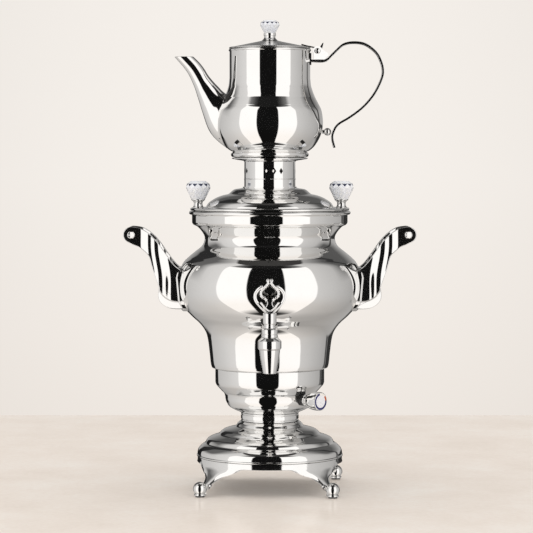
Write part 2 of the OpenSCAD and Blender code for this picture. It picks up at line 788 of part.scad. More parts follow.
module handle_bolts() {
    head_r = 4.4;
    color("silver") both_sides() for (z = bolt_zs) {
        head_face = min(radius_at(tank_outline(), z - head_r), radius_at(tank_outline(), z + head_r)) - wall - 0.3;
        rod_side(bolt_r, head_face - 2, boss_reach - 3.5, z);
        rod_side(head_r, head_face - 3.4, head_face, z);
    }
}

// Tank lid, stand ring and seat

lid_hole_r = 20;
function lid_outline() = let (z = z_lid, r = lid_dome_r, h = lid_h / 25.5) concat(
    arc([lid_r - 1.5, z + 1.6], 1.5, -80, 80, 8),
    [[r + 2, flange_top]],
    curve([[r + 0.5, flange_top + 0.3], [r - 0.7, z + 5.7 * h], [r - 3.2, z + 9 * h], [r - 8.3, z + 12.5 * h],
        [r - 12.8, z + 14.9 * h], [r - 18.8, z + 17 * h], [r - 24.5, z + 18.2 * h]]),
    curve([[r - 26, z + 19 * h], [r - 28.6, z + 21.4 * h], [r - 32.2, z + 23.8 * h],
        [ring_r + 4.4, z + lid_h - 0.6], [ring_r + 2, z + lid_h]]),
    [[lid_hole_r, z + lid_h]]
);

module tank_lid() {
    color("silver") difference() {
        union() {
            spun(lid_outline());
            ring(rim_r - wall - 1.9, rim_r - wall - 0.9, z_rim - 7, z_lid + 1.9);
            ring(rim_r - wall - 1.9, lid_r - 1.5, z_lid + 0.1, z_lid + 1.9);
        }
        for (s = [-1, 1]) translate([s * lid_knob_reach, 0, z_lid]) cylinder(r = knob_shank_r + 0.1, h = 10);
    }
}

cup_h = 9.6;
module lid_knob_stems() {
    z = flange_top;
    color("silver") both_sides() translate([lid_knob_reach, 0, z]) rotate_extrude() polygon(concat(
        [[0, -6], [knob_shank_r, -6], [knob_shank_r, 0.2], [6.2, 0.2], [6.2, 0.9]],
        curve([[5.4, 1.8], [4.9, 3.6], [4.9, 5.6], [6, 7.4], [7.8, 8.8]]), [[7.8, cup_h], [0, cup_h]]));
}

// Cut crystal: a ring of facets that widens, a girdle, and a crown that closes
module crystal(r, h) {
    $fn = 12;
    cylinder(r1 = 0.56 * r, r2 = r, h = 0.62 * h);
    translate([0, 0, 0.62 * h]) cylinder(r1 = r, r2 = 0.94 * r, h = 0.14 * h);
    translate([0, 0, 0.76 * h]) cylinder(r1 = 0.94 * r, r2 = 0.62 * r, h = 0.24 * h);
}

crystal_h = 20.6;
module lid_crystals() {
    color("white") both_sides() translate([lid_knob_reach, 0, flange_top + cup_h + 0.02])
        crystal(crystal_r, crystal_h);
}

module lid_knob_nuts() {
    color("gray") both_sides() translate([lid_knob_reach, 0, flange_top - 1.05 - 3]) difference() {
        cylinder(r = 3.9, h = 3, $fn = 6);
        translate([0, 0, -1]) cylinder(r = knob_shank_r, h = 5);
    }
}

vent_z = z_ring + 19;
module stand_ring() {
    color("silver") difference() {
        union() {
            ring(ring_r - wall, ring_r, z_ring + 0.02, z_seat);
            translate([0, 0, z_ring + 10]) rotate_extrude() translate([ring_r - 0.2, 0]) circle(r = 0.6, $fn = 16);
            ring(ring_r - wall, ring_r + 1.4, z_ring + 0.02, z_ring + 1.2);
        }
        for (g = [0:90:270], a = [-6, 10, 26]) rotate(g + a - 90) translate([ring_r - 4, 0, vent_z])
            rotate([0, 90, 0]) linear_extrude(8) polygon([[-3.7, 0], [0, 2.3], [3.7, 0], [0, -2.3]]);
    }
}

// Flared seat: a cone with a flat top and a lip that centres the pot's foot
seat_lip_r = pot_foot_r - 5.2;
module pot_seat() {
    top = z_seat + seat_h;
    color("silver") rotate_extrude() polygon([[ring_r - wall, z_seat], [ring_r, z_seat], [ring_r + 1, z_seat + 1],
        [pot_foot_r - 1.2, top - 1], [pot_foot_r - 1.2, top], [seat_lip_r, top], [seat_lip_r, top + 2.4],
        [seat_lip_r - wall, top + 2.4], [seat_lip_r - wall, top - 1], [ring_r - wall, z_seat + 1.6]]);
}

// Teapot

pot_floor_z = z_pot + pot_foot_h;
function pot_outline() = let (z = pot_floor_z, h = (pot_h - pot_foot_h) / 115.4, b = pot_bulb_r - 60, n = pot_neck_r)
    concat(curve([[pot_foot_r - 0.8, z], [pot_foot_r + 2.7, z + 2.3], [51.3 + b / 2, z + 6.8],
        [56.6 + b, z + 15.9], [59.4 + b, z + 24.9], [60 + b, z + 34], [58.3 + b, z + 45.3],
        [mix(n, pot_bulb_r, 0.54), z + 56.6 * h], [mix(n, pot_bulb_r, 0.23), z + 65.7 * h],
        [n + 0.8, z + 74.7 * h], [n, z + 82.4 * h]]),
    [[n, z_pot_rim - 4]]);

function pot_radius(z) = radius_at(pot_outline(), z);

module pot_body() {
    color("silver") difference() {
        union() {
            spun(pot_outline());
            translate([0, 0, pot_floor_z]) cylinder(r = pot_foot_r + 0.6, h = wall);
            rotate_extrude() polygon(concat([[pot_neck_r - wall, z_pot_rim - 5], [pot_neck_r, z_pot_rim - 5]],
                arc([pot_neck_r - 0.6, z_pot_rim - 1.6], 1.5, -60, 85, 6), [[pot_neck_r - wall, z_pot_rim - 0.1]]));
        }
        for (y = [-8, 0, 8], k = [0:2]) translate([-pot_bulb_r - 2, y, pot_floor_z + 22 + 9 * k])
            rotate([0, 90, 0]) cylinder(r = 2.2, h = 20);
    }
}

module pot_foot() {
    r = pot_foot_r;
    inner = seat_lip_r + lift_gap;
    color("silver") rotate_extrude() polygon([[inner, z_pot], [r - 1.4, z_pot], [r - 0.3, z_pot + 0.7],
        [r - 0.3, z_pot + 2.2], [r - 1, z_pot + 2.7], [r, z_pot + 3.4], [r, pot_floor_z - 1.2], [r - 0.8, pot_floor_z],
        [inner - 1.5, pot_floor_z], [inner, pot_floor_z - 2.5]]);
}

// The spout is a loft: rings between its lower edge and its upper edge, in distance from the axis and height
spout_w = 1;
spout_sides = 28;
function spout_low() = let (z = pot_floor_z + 2.3, f = pot_bulb_r - 60) curve([[47, z], [60.6 + f, z + 10.8],
    [69.4 + f, z + 22.6], [76 + f, z + 41.2], [80.6 + f, z + 56], [86 + f, z + 72], [94 + f, z + 88],
    [107.5 + f, z + 104]]);
function spout_high() = let (z = pot_floor_z + 2.3, f = pot_bulb_r - 60) curve([[49, z + 62],
    [53.4 + f / 2, z + 65.4], [57.4 + f, z + 69.6], [63 + f, z + 75.4], [69 + f, z + 82.6], [74 + f, z + 90.6],
    [79.5 + f, z + 97.6], [86 + f, z + 104]]);
spout_half = [17.8, 15.6, 13.2, 10.8, 9, 7.8, 7, 6.4];

// Half the spout's width at step i of n, between the values above
function spout_width(i, n) = lookup(i / n * 7, [for (k = [0:7]) [k, spout_half[k]]]);

// One ring of the loft, thinned by w, with the first ring laid on the pot's bulb
function spout_ring(i, w) = let (a = spout_low()[i], b = spout_high()[i], n = len(spout_low()) - 1,
    c = (a + b) / 2, u = (b - a) / norm(b - a), h = norm(b - a) / 2 - w, k = spout_width(i, n) - w) [
    for (j = [0:spout_sides - 1])
        let (t = 360 * j / spout_sides, p = c + h * cos(t) * u, y = k * sin(t),
            x = i > 0 ? p[0] : sqrt(max(pow(pot_radius(p[1]) + seat_gap, 2) - y * y, 1)))
        [-x, y, p[1]]
];

module pot_spout() {
    n = len(spout_low());
    s = spout_sides;
    outer = [for (i = [0:n - 1]) each spout_ring(i, 0)];
    inner = [for (i = [0:n - 1]) each spout_ring(i, spout_w)];
    m = n * s;
    color("silver") polyhedron(points = concat(outer, inner), faces = concat(
        [for (i = [0:n - 2], j = [0:s - 1]) let (a = i * s, k = (j + 1) % s)
            each [[a + j, a + k, a + s + k], [a + j, a + s + k, a + s + j]]],
        [for (i = [0:n - 2], j = [0:s - 1]) let (a = m + i * s, k = (j + 1) % s)
            each [[a + j, a + s + k, a + k], [a + j, a + s + j, a + s + k]]],
        [for (j = [0:s - 1]) let (k = (j + 1) % s) each [[j, m + k, k], [j, m + j, m + k]]],
        [for (j = [0:s - 1]) let (a = (n - 1) * s, k = (j + 1) % s)
            each [[a + j, a + k, m + a + k], [a + j, m + a + k, m + a + j]]]
    ));
}

// Line of the strap handle, in distance from the axis and height above the pot's floor
link_at = [65.1, pot_floor_z + 21.9];
function strap_line() = let (z = pot_floor_z, h = (pot_h - pot_foot_h) / 115.4, f = pot_neck_r - 45.6,
    w = strap_t / 2) curve([
    [pot_neck_r + 0.2, z_pot_rim - 13.5], [62 + f, z_pot_rim - 13.5], [70.2 + f, z_pot_rim - 6.8],
    [76 + f, z_pot_rim - 1.1], [83 + f, z_pot_rim + 4.6], [93 + f, z_pot_rim + 6.9],
    [105.3 + f, z_pot_rim + 5.7], [115 + f, z_pot_rim + 0.2], [122.4 + f, z_pot_rim - 8], [127.2 + f, z_pot_rim - 21],
    [126.4 + f, z + 82.5 * h], [117.7 + f, z + 64.5 * h], [105.3 + f, z + 49.8 * h], [90.6 + f, z + 38.5 * h],
    [77 + f, z + 30 * h], link_at + [5.4 + w, -1], link_at + [4.6 + w, -8], link_at + [7 + w, -18]], 4);

module pot_handle() {
    color("silver") {
        translate([0, strap_w / 2, 0]) rotate([90, 0, 0]) linear_extrude(strap_w) stroke(strap_line(), strap_t);
        intersection() {
            translate([0, 0, z_pot_rim - 18]) difference() {
                cylinder(r = pot_neck_r + 1.4, h = 13);
                translate([0, 0, -1]) cylinder(r = pot_neck_r + seat_gap, h = 15);
            }
            translate([0, -strap_w / 2, z_pot_rim - 18]) cube([far, strap_w, 13]);
        }
    }
}

module pot_handle_link() {
    rod_r = 2.2;
    wall_x = pot_radius(link_at[1] + rod_r) + 0.1;
    color("silver") {
        translate([link_at[0], 0, link_at[1]]) sphere(r = 4.3);
        translate([0, 0, link_at[1]]) rod_side(rod_r, wall_x, link_at[0], 0);
    }
}

module pot_hinge_bracket() {
    foot_z = z_pot_rim - 13.5 + strap_t / 2;
    color("silver") for (s = [-1, 1]) translate([0, s * (ear_gap + ear_t / 2) + ear_t / 2, 0]) rotate([90, 0, 0])
        linear_extrude(ear_t) difference() {
            union() {
                translate([pin_x, pin_z]) circle(r = 5.4);
                polygon(concat([[pot_neck_r + 3.6, foot_z], [pin_x + 12.4, foot_z + 4.6]],
                    curve([[pin_x + 11.4, foot_z + 7.4], [pin_x + 8.4, foot_z + 9.2], [pin_x + 4.6, pin_z + 2.6]]),
                    [[pin_x - 4.6, pin_z - 2.6]]));
                polygon([[pot_neck_r + 3.6, foot_z], [pin_x + 8, foot_z], [pin_x + 12.4, foot_z + 4.6],
                    [pin_x, pin_z - 2]]);
            }
            translate([pin_x, pin_z]) circle(r = pin_r);
        }
    color("silver") translate([pot_neck_r + 4.2, -ear_gap - 0.5, foot_z])
        cube([pin_x - pot_neck_r + 3, 2 * ear_gap + 1, 1.2]);
}

module pot_hinge_pin() {
    half = ear_gap + ear_t;
    color("silver") {
        translate([pin_x, half, pin_z]) rotate([90, 0, 0]) cylinder(r = pin_r, h = 2 * half);
        for (s = [0, 180]) translate([pin_x, 0, pin_z]) rotate(s) translate([0, -half, 0])
            rotate([90, 0, 0]) rotate_extrude() polygon(concat([[0, 0], [3.3, 0]],
                curve([[3.3, 0.5], [2.6, 1.7], [0, 2.4]])));
    }
}

pot_lid_z = z_pot_rim + lift_gap;
lid_tip_r = 8;
lid_edge_t = 1.4;
function pot_lid_outline() = concat(
    curve([[pot_neck_r - 0.6, pot_lid_z + 1.2], [mix(pot_neck_r, lid_tip_r, 0.5), pot_lid_z + 0.56 * pot_lid_h],
        [lid_tip_r + 6, pot_lid_z + 0.85 * pot_lid_h], [lid_tip_r, pot_lid_z + pot_lid_h]]),
    [[3, pot_lid_z + pot_lid_h + 0.2]]
);

module pot_lid() {
    skirt_r = pot_neck_r - wall - 0.9;
    color("silver") {
        spun(pot_lid_outline(), 0.9);
        ring(skirt_r - 0.9, skirt_r, pot_lid_z - 6.5, pot_lid_z + lid_edge_t);
        rotate_extrude() polygon(concat([[skirt_r - 0.9, pot_lid_z]],
            arc([pot_neck_r - 0.3, pot_lid_z + lid_edge_t / 2], lid_edge_t / 2, -90, 90, 6),
            [[skirt_r - 0.9, pot_lid_z + lid_edge_t]]));
    }
}

// The leaf lies on the lid, drops to the knuckle and ends in a thumb piece
function leaf_line() = let (s = pot_lid_h / (pot_neck_r - lid_tip_r), z = pot_lid_z + 1.9) curve([
    [pot_neck_r - 10, z + 9 * s + 0.5], [pot_neck_r - 4, z + 3.4 * s + 0.2], [pot_neck_r + 2, pin_z + 4.6],
    [pin_x - 1, pin_z + 3.4]]);

module pot_lid_leaf() {
    half = ear_gap - 0.3;
    pin = [pin_x, pin_z];
    low = inset(leaf_line(), -0.6);
    color("silver") translate([0, half, 0]) rotate([90, 0, 0]) linear_extrude(2 * half) difference() {
        polygon(concat(inset(leaf_line(), 0.6),
            curve([pin + [0.6, 4], pin + [3, 5.2], pin + [5.2, 8.8]]),
            curve([pin + [6.6, 9.2], pin + [5.2, 3.4], pin + [3.1, -1.3]]),
            arc(pin, knuckle_r, -24, -240, 16),
            back([for (i = [0:len(low) - 2]) low[i]])));
        translate(pin) circle(r = pin_r + run_gap);
    }
}

pot_stem_h = 8;
module pot_knob_stem() {
    z = pot_lid_z + pot_lid_h + 0.25;
    color("silver") translate([0, 0, z]) rotate_extrude() polygon(concat(
        [[0, -3], [2.6, -3], [2.6, 0]], curve([[9, 0], [7.4, 1.2], [6.4, 2.8], [6.3, 4.4], [6.9, 5.2]]),
        [[6.9, pot_stem_h], [0, pot_stem_h]]));
}

module pot_crystal() {
    color("white") translate([0, 0, pot_lid_z + pot_lid_h + pot_stem_h + 0.27]) crystal(0.79 * crystal_r, 14.4);
}

foot_pads();
base_ring();
base_plate();
base_dome();
neck_collar();
tie_rod();
tie_washer();
tie_nut();
heater_housing();
tank();
heater_plate();
heating_element();
thermal_cutout();
thermostat();
regulator_collar();
regulator_spindle();
regulator_knob();
regulator_dial();
knob_grub_screw();
power_inlet();
inlet_pins();
inner_leads();
tap_pipe();
tap_rose();
tap_gaskets();
tap_nut();
tap_body();
tap_cap_nut();
tap_nozzle();
tap_plug();
tap_key();
left_handle();
right_handle();
handle_grips();
grip_screws();
handle_bolts();
tank_lid();
lid_knob_stems();
lid_crystals();
lid_knob_nuts();
stand_ring();
pot_seat();
pot_body();
pot_foot();
pot_spout();
pot_handle();
pot_handle_link();
pot_hinge_bracket();
pot_hinge_pin();
pot_lid();
pot_lid_leaf();
pot_knob_stem();
pot_crystal();
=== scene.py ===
# %% [markdown]
# # An electric samovar with its teapot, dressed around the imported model
#
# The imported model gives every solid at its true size. This lesson builds the visible
# surfaces around it: mirror-bright turned shells, a cast base on four feet, two side
# handles, a tap with a pierced key, cut crystal knobs and a teapot with a swan spout.
# Shapes are worked out with numpy on grids, in millimetres, and are put into Blender
# in metres. Finishes are node materials.

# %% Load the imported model
import json

import bpy
import numpy as np
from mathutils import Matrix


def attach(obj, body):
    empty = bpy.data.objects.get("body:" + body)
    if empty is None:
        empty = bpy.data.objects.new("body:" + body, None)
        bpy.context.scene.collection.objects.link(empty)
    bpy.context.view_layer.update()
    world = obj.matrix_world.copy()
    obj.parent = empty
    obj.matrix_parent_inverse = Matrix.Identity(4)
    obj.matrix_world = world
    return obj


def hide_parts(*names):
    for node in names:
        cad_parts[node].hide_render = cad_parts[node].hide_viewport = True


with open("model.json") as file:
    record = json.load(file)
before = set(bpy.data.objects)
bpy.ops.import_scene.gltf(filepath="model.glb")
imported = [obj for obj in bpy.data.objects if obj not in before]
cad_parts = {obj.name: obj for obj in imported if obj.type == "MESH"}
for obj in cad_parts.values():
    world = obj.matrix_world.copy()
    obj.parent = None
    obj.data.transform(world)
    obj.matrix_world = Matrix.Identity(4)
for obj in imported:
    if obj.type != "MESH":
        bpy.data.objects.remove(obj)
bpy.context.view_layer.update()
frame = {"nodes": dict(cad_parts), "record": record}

MM = 0.001

# %% [markdown]
# ## The lines that every turned part starts from
#
# Spun and turned metal is round about an axis, so one line in distance and height says
# it all. A line is drawn through a few measured points. Straight segments between them
# would show as rings in a mirror finish, and a curve with handles needs them placed by
# eye. A cubic that takes its slope at each point from the two neighbours goes through
# all the points by itself and has no kinks.


# %% Lines in distance and height
def flow(points, steps=10):
    """Smooth line through all the points: between two of them it is a cubic, whose slope
    at a point is half the step from the point before to the one after."""
    p = np.asarray(points, float)
    ends = np.vstack([p[:1], p, p[-1:]])
    a, b, c, d = (ends[k:k + len(p) - 1, None] for k in range(4))
    t = (np.arange(steps) / steps)[None, :, None]
    q = 0.5 * (2 * b + (c - a) * t + (2 * a - 5 * b + 4 * c - d) * t ** 2
               + (3 * b - a - 3 * c + d) * t ** 3)
    return np.vstack([q.reshape(-1, p.shape[1]), p[-1:]])


def arc(centre, radius, start, end, steps=10):
    """Points of a circle: centre + radius * (cos a, sin a), for a from start to end."""
    a = np.radians(np.linspace(start, end, steps + 1))
    return np.asarray(centre, float) + radius * np.stack([np.cos(a), np.sin(a)], 1)


def inset(line, width):
    """The line moved sideways: each point goes width to the left of the way on."""
    p = np.asarray(line, float)
    along = np.vstack([p[1:], p[-1:]]) - np.vstack([p[:1], p[:-1]])
    left = np.stack([-along[:, 1], along[:, 0]], 1)
    return p + width * left / np.linalg.norm(along, axis=1)[:, None]


def soften(line, radius, closed=False, turn=22, steps=4):
    """Rounds the corners of a line. A corner that turns by more than turn degrees gives
    way to a parabola that starts and ends radius away from it, or nearly half a side."""
    p = np.asarray(line, float)
    before, after = np.roll(p, 1, 0) - p, np.roll(p, -1, 0) - p
    m, n = (np.linalg.norm(side, axis=1, keepdims=True) for side in (before, after))
    bend = np.degrees(np.arccos(np.clip(-(before * after).sum(1) / (m * n)[:, 0], -1, 1)))
    corner = bend >= turn
    if not closed:
        corner[[0, -1]] = False
    a = p + before / m * np.minimum(radius, 0.45 * m)
    b = p + after / n * np.minimum(radius, 0.45 * n)
    t = np.linspace(0, 1, steps + 1)[:, None]
    curves = (1 - t) ** 2 * a[:, None] + 2 * t * (1 - t) * p[:, None] + t ** 2 * b[:, None]
    curves[~corner] = p[~corner][:, None]
    return curves[corner[:, None] | (np.arange(steps + 1) == 0)]


def shell(outer, wall, edge=0.4):
    """Closed section of a thin shell: the outer line upwards, the inner line back down."""
    return soften(np.vstack([outer, inset(outer, wall)[::-1]]), edge, closed=True)


print("a line of 3 points becomes", len(flow([[0, 0], [1, 1], [2, 0]])), "points")

# %% [markdown]
# ## Grids of points become meshes
#
# A surface is a table of points, rows by columns, and its faces join each point with
# its neighbours. The faces are numbered for the whole table at once. Smooth shading
# lets a mirror finish flow over the facets, and edges sharper than 35 degrees stay
# crisp, as they do on cut crystal.


# %% From a table of points to a mesh
def quads(rows, cols, wrap_rows=False, wrap_cols=False):
    """Corner numbers of the faces between point (i, j) and its neighbours i+1 and j+1.
    A wrapped direction joins its last line of points to the first."""
    i = np.arange(rows if wrap_rows else rows - 1)[:, None]
    j = np.arange(cols if wrap_cols else cols - 1)[None, :]
    k, m = (i + 1) % rows, (j + 1) % cols
    return np.stack([i * cols + j, i * cols + m, k * cols + m, k * cols + j],
                    -1).reshape(-1, 4)


def new_piece(name, points, faces, material, sharp=35.0):
    """A mesh object from points in millimetres and faces as lists of corner numbers."""
    mesh = bpy.data.meshes.new(name)
    mesh.from_pydata((np.asarray(points, float) * MM).tolist(), [],
                     [list(map(int, f)) for f in faces])
    mesh.polygons.foreach_set("use_smooth", np.ones(len(mesh.polygons), bool))
    mesh.set_sharp_from_angle(angle=np.radians(sharp))
    mesh.materials.append(material)
    piece = bpy.data.objects.new(name, mesh)
    bpy.context.scene.collection.objects.link(piece)
    return piece


print("a table of 3 by 3 points has", len(quads(3, 3)), "faces")

# %% [markdown]
# ### Turning a line
#
# Blender's Screw modifier would turn a line too, but a table of points can be moved,
# joined to others and measured before it becomes a mesh. Where a line starts or ends
# on the axis, a whole ring would shrink to one place, so one point and a fan of
# triangles close it.


# %% Turned shapes
def stand(points, origin=(0, 0, 0), axis=(0, 0, 1)):
    """Local points, whose Z is the part's own axis, turned and set at their place."""
    w = np.asarray(axis, float) / np.linalg.norm(axis)
    guess = np.array([0, 0, 1.0]) if abs(w[2]) < 0.9 else np.array([1.0, 0, 0])
    v = np.cross(w, guess)
    v /= np.linalg.norm(v)
    u = np.cross(v, w)
    return points @ np.stack([u, v, w]) + np.asarray(origin, float)


def lathe(line, sides=160, **place):
    """Points and faces of a line turned about its own axis, (r cos a, r sin a, z), and
    set at its place. A line whose ends lie on the axis gets a fan of triangles there,
    and any other line is closed."""
    p = np.asarray(line, float)
    a = np.linspace(0, 2 * np.pi, sides, endpoint=False)
    low, high = p[0, 0] < 1e-6, p[-1, 0] < 1e-6
    ring = p[int(low):len(p) - int(high)]
    r, z = ring[:, :1], ring[:, 1:]
    grid = np.stack([r * np.cos(a), r * np.sin(a), z + 0 * a], -1).reshape(-1, 3)
    faces = quads(len(ring), sides, not (low or high), True).tolist()
    j, k = np.arange(sides), (np.arange(sides) + 1) % sides
    if low:
        faces += np.stack([k, j, 0 * j + len(grid)], 1).tolist()
        grid = np.vstack([grid, [0, 0, p[0, 1]]])
    if high:
        top = (len(ring) - 1) * sides
        faces += np.stack([top + j, top + k, 0 * j + len(grid)], 1).tolist()
        grid = np.vstack([grid, [0, 0, p[-1, 1]]])
    return stand(grid, **place), faces


def join(*parts):
    """Several (points, faces) pairs as one pair."""
    points, faces, start = [], [], 0
    for p, f in parts:
        points.append(p)
        faces += [[int(c) + start for c in face] for face in f]
        start += len(p)
    return np.vstack(points), faces


print("a ring of 3 points and 8 sides has", len(lathe([[1, 0], [2, 0], [2, 1]], 8)[1]), "faces")

# %% [markdown]
# ## The camera
#
# The samovar is seen from a little above its middle, from two and a half metres away
# through a long lens, so its upright lines hardly lean in. The lens follows from the
# size that the object has in a square picture of 533 points.

# %% Camera
PICTURE = 533
EYE_BACK, EYE_HEIGHT = 2500.0, 370.0
POINTS_PER_RADIAN = 2208.0
LOOK_DOWN, LOOK_LEFT = 2.70, 0.0856
camera_data = bpy.data.cameras.new("camera")
camera_data.sensor_width = 36.0
camera_data.lens = 36.0 * POINTS_PER_RADIAN / PICTURE
camera = bpy.data.objects.new("camera", camera_data)
camera.location = (0, -EYE_BACK * MM, EYE_HEIGHT * MM)
camera.rotation_euler = (np.radians(90 - LOOK_DOWN), 0, np.radians(LOOK_LEFT))
bpy.context.scene.collection.objects.link(camera)
bpy.context.scene.camera = camera
bpy.context.scene.view_settings.view_transform = "Standard"
print("lens", round(camera_data.lens, 1), "mm")

# %% [markdown]
# ## Node helpers
#
# Every finish is a small graph of nodes. These helpers make a node, set its plain
# values and join it to others in one call, which keeps each finish readable.


# %% Node helpers
def graph(owner, empty=True):
    """A function that adds nodes to the graph of a material or world, emptied first.
    Inputs are given by name or number: a value is set, and another node's socket joined."""
    owner.use_nodes = True
    tree = owner.node_tree
    if empty:
        tree.nodes.clear()

    def add(kind, inputs=None, **values):
        node = tree.nodes.new("ShaderNode" + kind)
        for key, value in values.items():
            setattr(node, key, value)
        for key, value in (inputs or {}).items():
            if isinstance(value, bpy.types.NodeSocket):
                tree.links.new(value, node.inputs[key])
            else:
                node.inputs[key].default_value = value
        return node

    return add


def finish_of(name, colour, **values):
    """A material with one Principled shader, its fixed values set on its own sockets."""
    material = bpy.data.materials.new(name)
    material.diffuse_color = (*colour, 1.0)
    add = graph(material)
    shader = add("BsdfPrincipled", {"Base Color": (*colour, 1.0), **values})
    add("OutputMaterial", {0: shader.outputs[0]})
    return material, add, shader


def reopen(material):
    """The node function and the shader of a finished material, to add to its graph."""
    return graph(material, empty=False), material.node_tree.nodes["Principled BSDF"]


def feed(shader, sockets):
    """Joins node outputs to the inputs of a shader, given by name."""
    for name, value in sockets.items():
        shader.id_data.links.new(value, shader.inputs[name])


print("helpers that make and join nodes are ready")

# %% [markdown]
# ### Sums and patterns
#
# A pattern is a chain of small sums on a point's place or on the direction of its
# face. With one short function for each kind of node, a formula can be read in a line.
# The pattern is worked out while the picture is made, so nothing has to be painted.


# %% Sums and patterns
def calc(add, operation, a, b=0.0, c=0.0):
    """Result of one sum on two or three numbers or sockets."""
    return add("Math", {0: a, 1: b, 2: c}, operation=operation).outputs[0]


def remap(add, value, low, high, to_low=0.0, to_high=1.0):
    """The value carried from the range low to high onto another range, and held in it."""
    return add("MapRange", {0: value, 1: low, 2: high, 3: to_low, 4: to_high}).outputs[0]


def mix(add, factor, under, over, blend="MIX"):
    """The colour under where the factor is 0, and the colour over, or its blend, where 1."""
    node = add("Mix", {0: factor, 6: under, 7: over}, data_type="RGBA", blend_type=blend)
    return node.outputs[2]


def ramp(add, factor, stops, interpolation="LINEAR"):
    """Colours or greys laid out along a factor from 0 to 1, as (place, colour) pairs."""
    node = add("ValToRGB", {0: factor})
    band = node.color_ramp
    band.interpolation = interpolation
    while len(band.elements) < len(stops):
        band.elements.new(0.5)
    for element, (place, colour) in zip(band.elements, stops):
        element.position = place
        element.color = (*((colour,) * 3 if np.isscalar(colour) else colour), 1.0)
    return node.outputs[0]


def bump(add, height):
    """Turns a height pattern in metres into a tilt of the surface."""
    return add("Bump", {"Height": height, "Distance": 1.0, "Strength": 1.0}).outputs[0]


def place_on(add):
    """Each point's place on the object, in metres."""
    return add("TexCoord").outputs["Object"]


def noise(add, scale, detail=2.0, roughness=0.5):
    """Clouds of which about scale lie in a metre, from 0 to 1."""
    return add("TexNoise", {"Vector": place_on(add), "Scale": scale, "Detail": detail,
                            "Roughness": roughness}).outputs[0]


def xyz(add, vector):
    """The three numbers of a place or a direction."""
    return add("SeparateXYZ", {0: vector}).outputs


def facing(add):
    """The x, y and z of the direction that the mesh's own face looks in."""
    return xyz(add, add("NewGeometry").outputs["True Normal"])


print("helpers for sums and patterns are ready")

# %% [markdown]
# ## The room that the chrome sees
#
# A mirror shows its surroundings, so the room matters more than the metal. The real
# picture was lit by two tall white panels at the front, left and right, with a dark
# slot between them for the camera, grey walls beside, and nothing overhead. Narrow
# black flags behind draw the dark lines along both sides. Lamps could stand there,
# but a world that depends on the direction alone gives the same reflections without
# noise. Only mirror and glass rays meet that pattern. The camera sees a plain pale
# wall, and matt surfaces get an even light.

# %% Where the light panels stand, in degrees
PANEL_LEFT = (-69.5, -29.0)
PANEL_RIGHT = (19.0, 61.5)
PANEL_TOP, PANEL_FOOT, WALL_TOP = 48.0, -66.0, 67.0
WHITE, SLOT, EDGE = 1.15, 0.006, 0.4
# (bearing, brightness) pairs round the room. The bearing is 0 at the front, negative to
# the left and 180 behind.
LEFT_WALL = [(-180, 0.36), (-160, 0.40), (-140.5, 0.55), (-120, 0.61), (-100, 0.67), (-85, 0.73),
             (PANEL_LEFT[0] - EDGE, 0.78)]
RIGHT_WALL = [(PANEL_RIGHT[1] + EDGE, 0.67), (80, 0.60), (95, 0.54), (110, 0.49), (135, 0.40),
              (160, 0.44), (180, 0.36)]
PANELS = [(PANEL_LEFT[0], WHITE), (PANEL_LEFT[1], WHITE), (PANEL_LEFT[1] + EDGE, SLOT),
          (PANEL_RIGHT[0] - EDGE, SLOT), (PANEL_RIGHT[0], WHITE), (PANEL_RIGHT[1], WHITE)]
NO_PANELS = [(-66, 0.50), (-60, 0.20), (-46, 0.06), (-36, 0.012), (24, 0.012), (36, 0.06),
             (52, 0.20), (58, 0.50)]
# Each set of flags: how dense it is at a bearing, the heights between which it starts,
# and the heights between which it ends. One that ends at 90 reaches straight up.
FLAGS = ([(-159.5, 0), (-158.5, 1), (-142, 1), (-141, 0), (131.5, 0), (132.5, 0.85),
          (138, 0.85), (139, 0)], (-22, -15), (90, 91))
LOW_FLAGS = ([(-180, 1), (-143, 1), (-142, 0), (139, 0), (140, 0.95), (180, 0.95)],
             (-19, -14), (-1, 0))
CEILING, FLAG_BLACK = (0.05, 0.048, 0.046, 1.0), (0.012, 0.012, 0.012, 1.0)
BACK_BLACK, WALL_SHADE = (0.03, 0.03, 0.03, 1.0), (0.4, 0.36, 0.32, 1.0)
UNTINTED, FLOOR_TINT = (1.0, 1.0, 1.0, 1.0), (0.965, 0.935, 0.905, 1.0)
EVEN_COLOUR, EVEN_LIGHT = (1.0, 0.99, 0.975, 1.0), 1.07
# The black patch behind comes in between these shares of "straight back" and these
# heights. The floor's tint and the pale wall's colours change between two heights too.
BACK_FROM, BACK_RISE, BACK_DENSE = (0.1, 0.4), (8.0, 26.0), 0.82
FLOOR_FADE, WALL_FADE, ASIDE_FADE, ASIDE_DENSE = (-12.0, -45.0), (-7.0, 5.0), (0.0, 0.02), 0.13
WALL_COLOURS = [(0.0, (0.862, 0.806, 0.750)), (0.22, (0.895, 0.842, 0.790)),
                (0.55, (0.925, 0.880, 0.832)), (1.0, (0.915, 0.872, 0.825))]
print("white panels at", PANEL_LEFT, "and", PANEL_RIGHT, "degrees from the front")


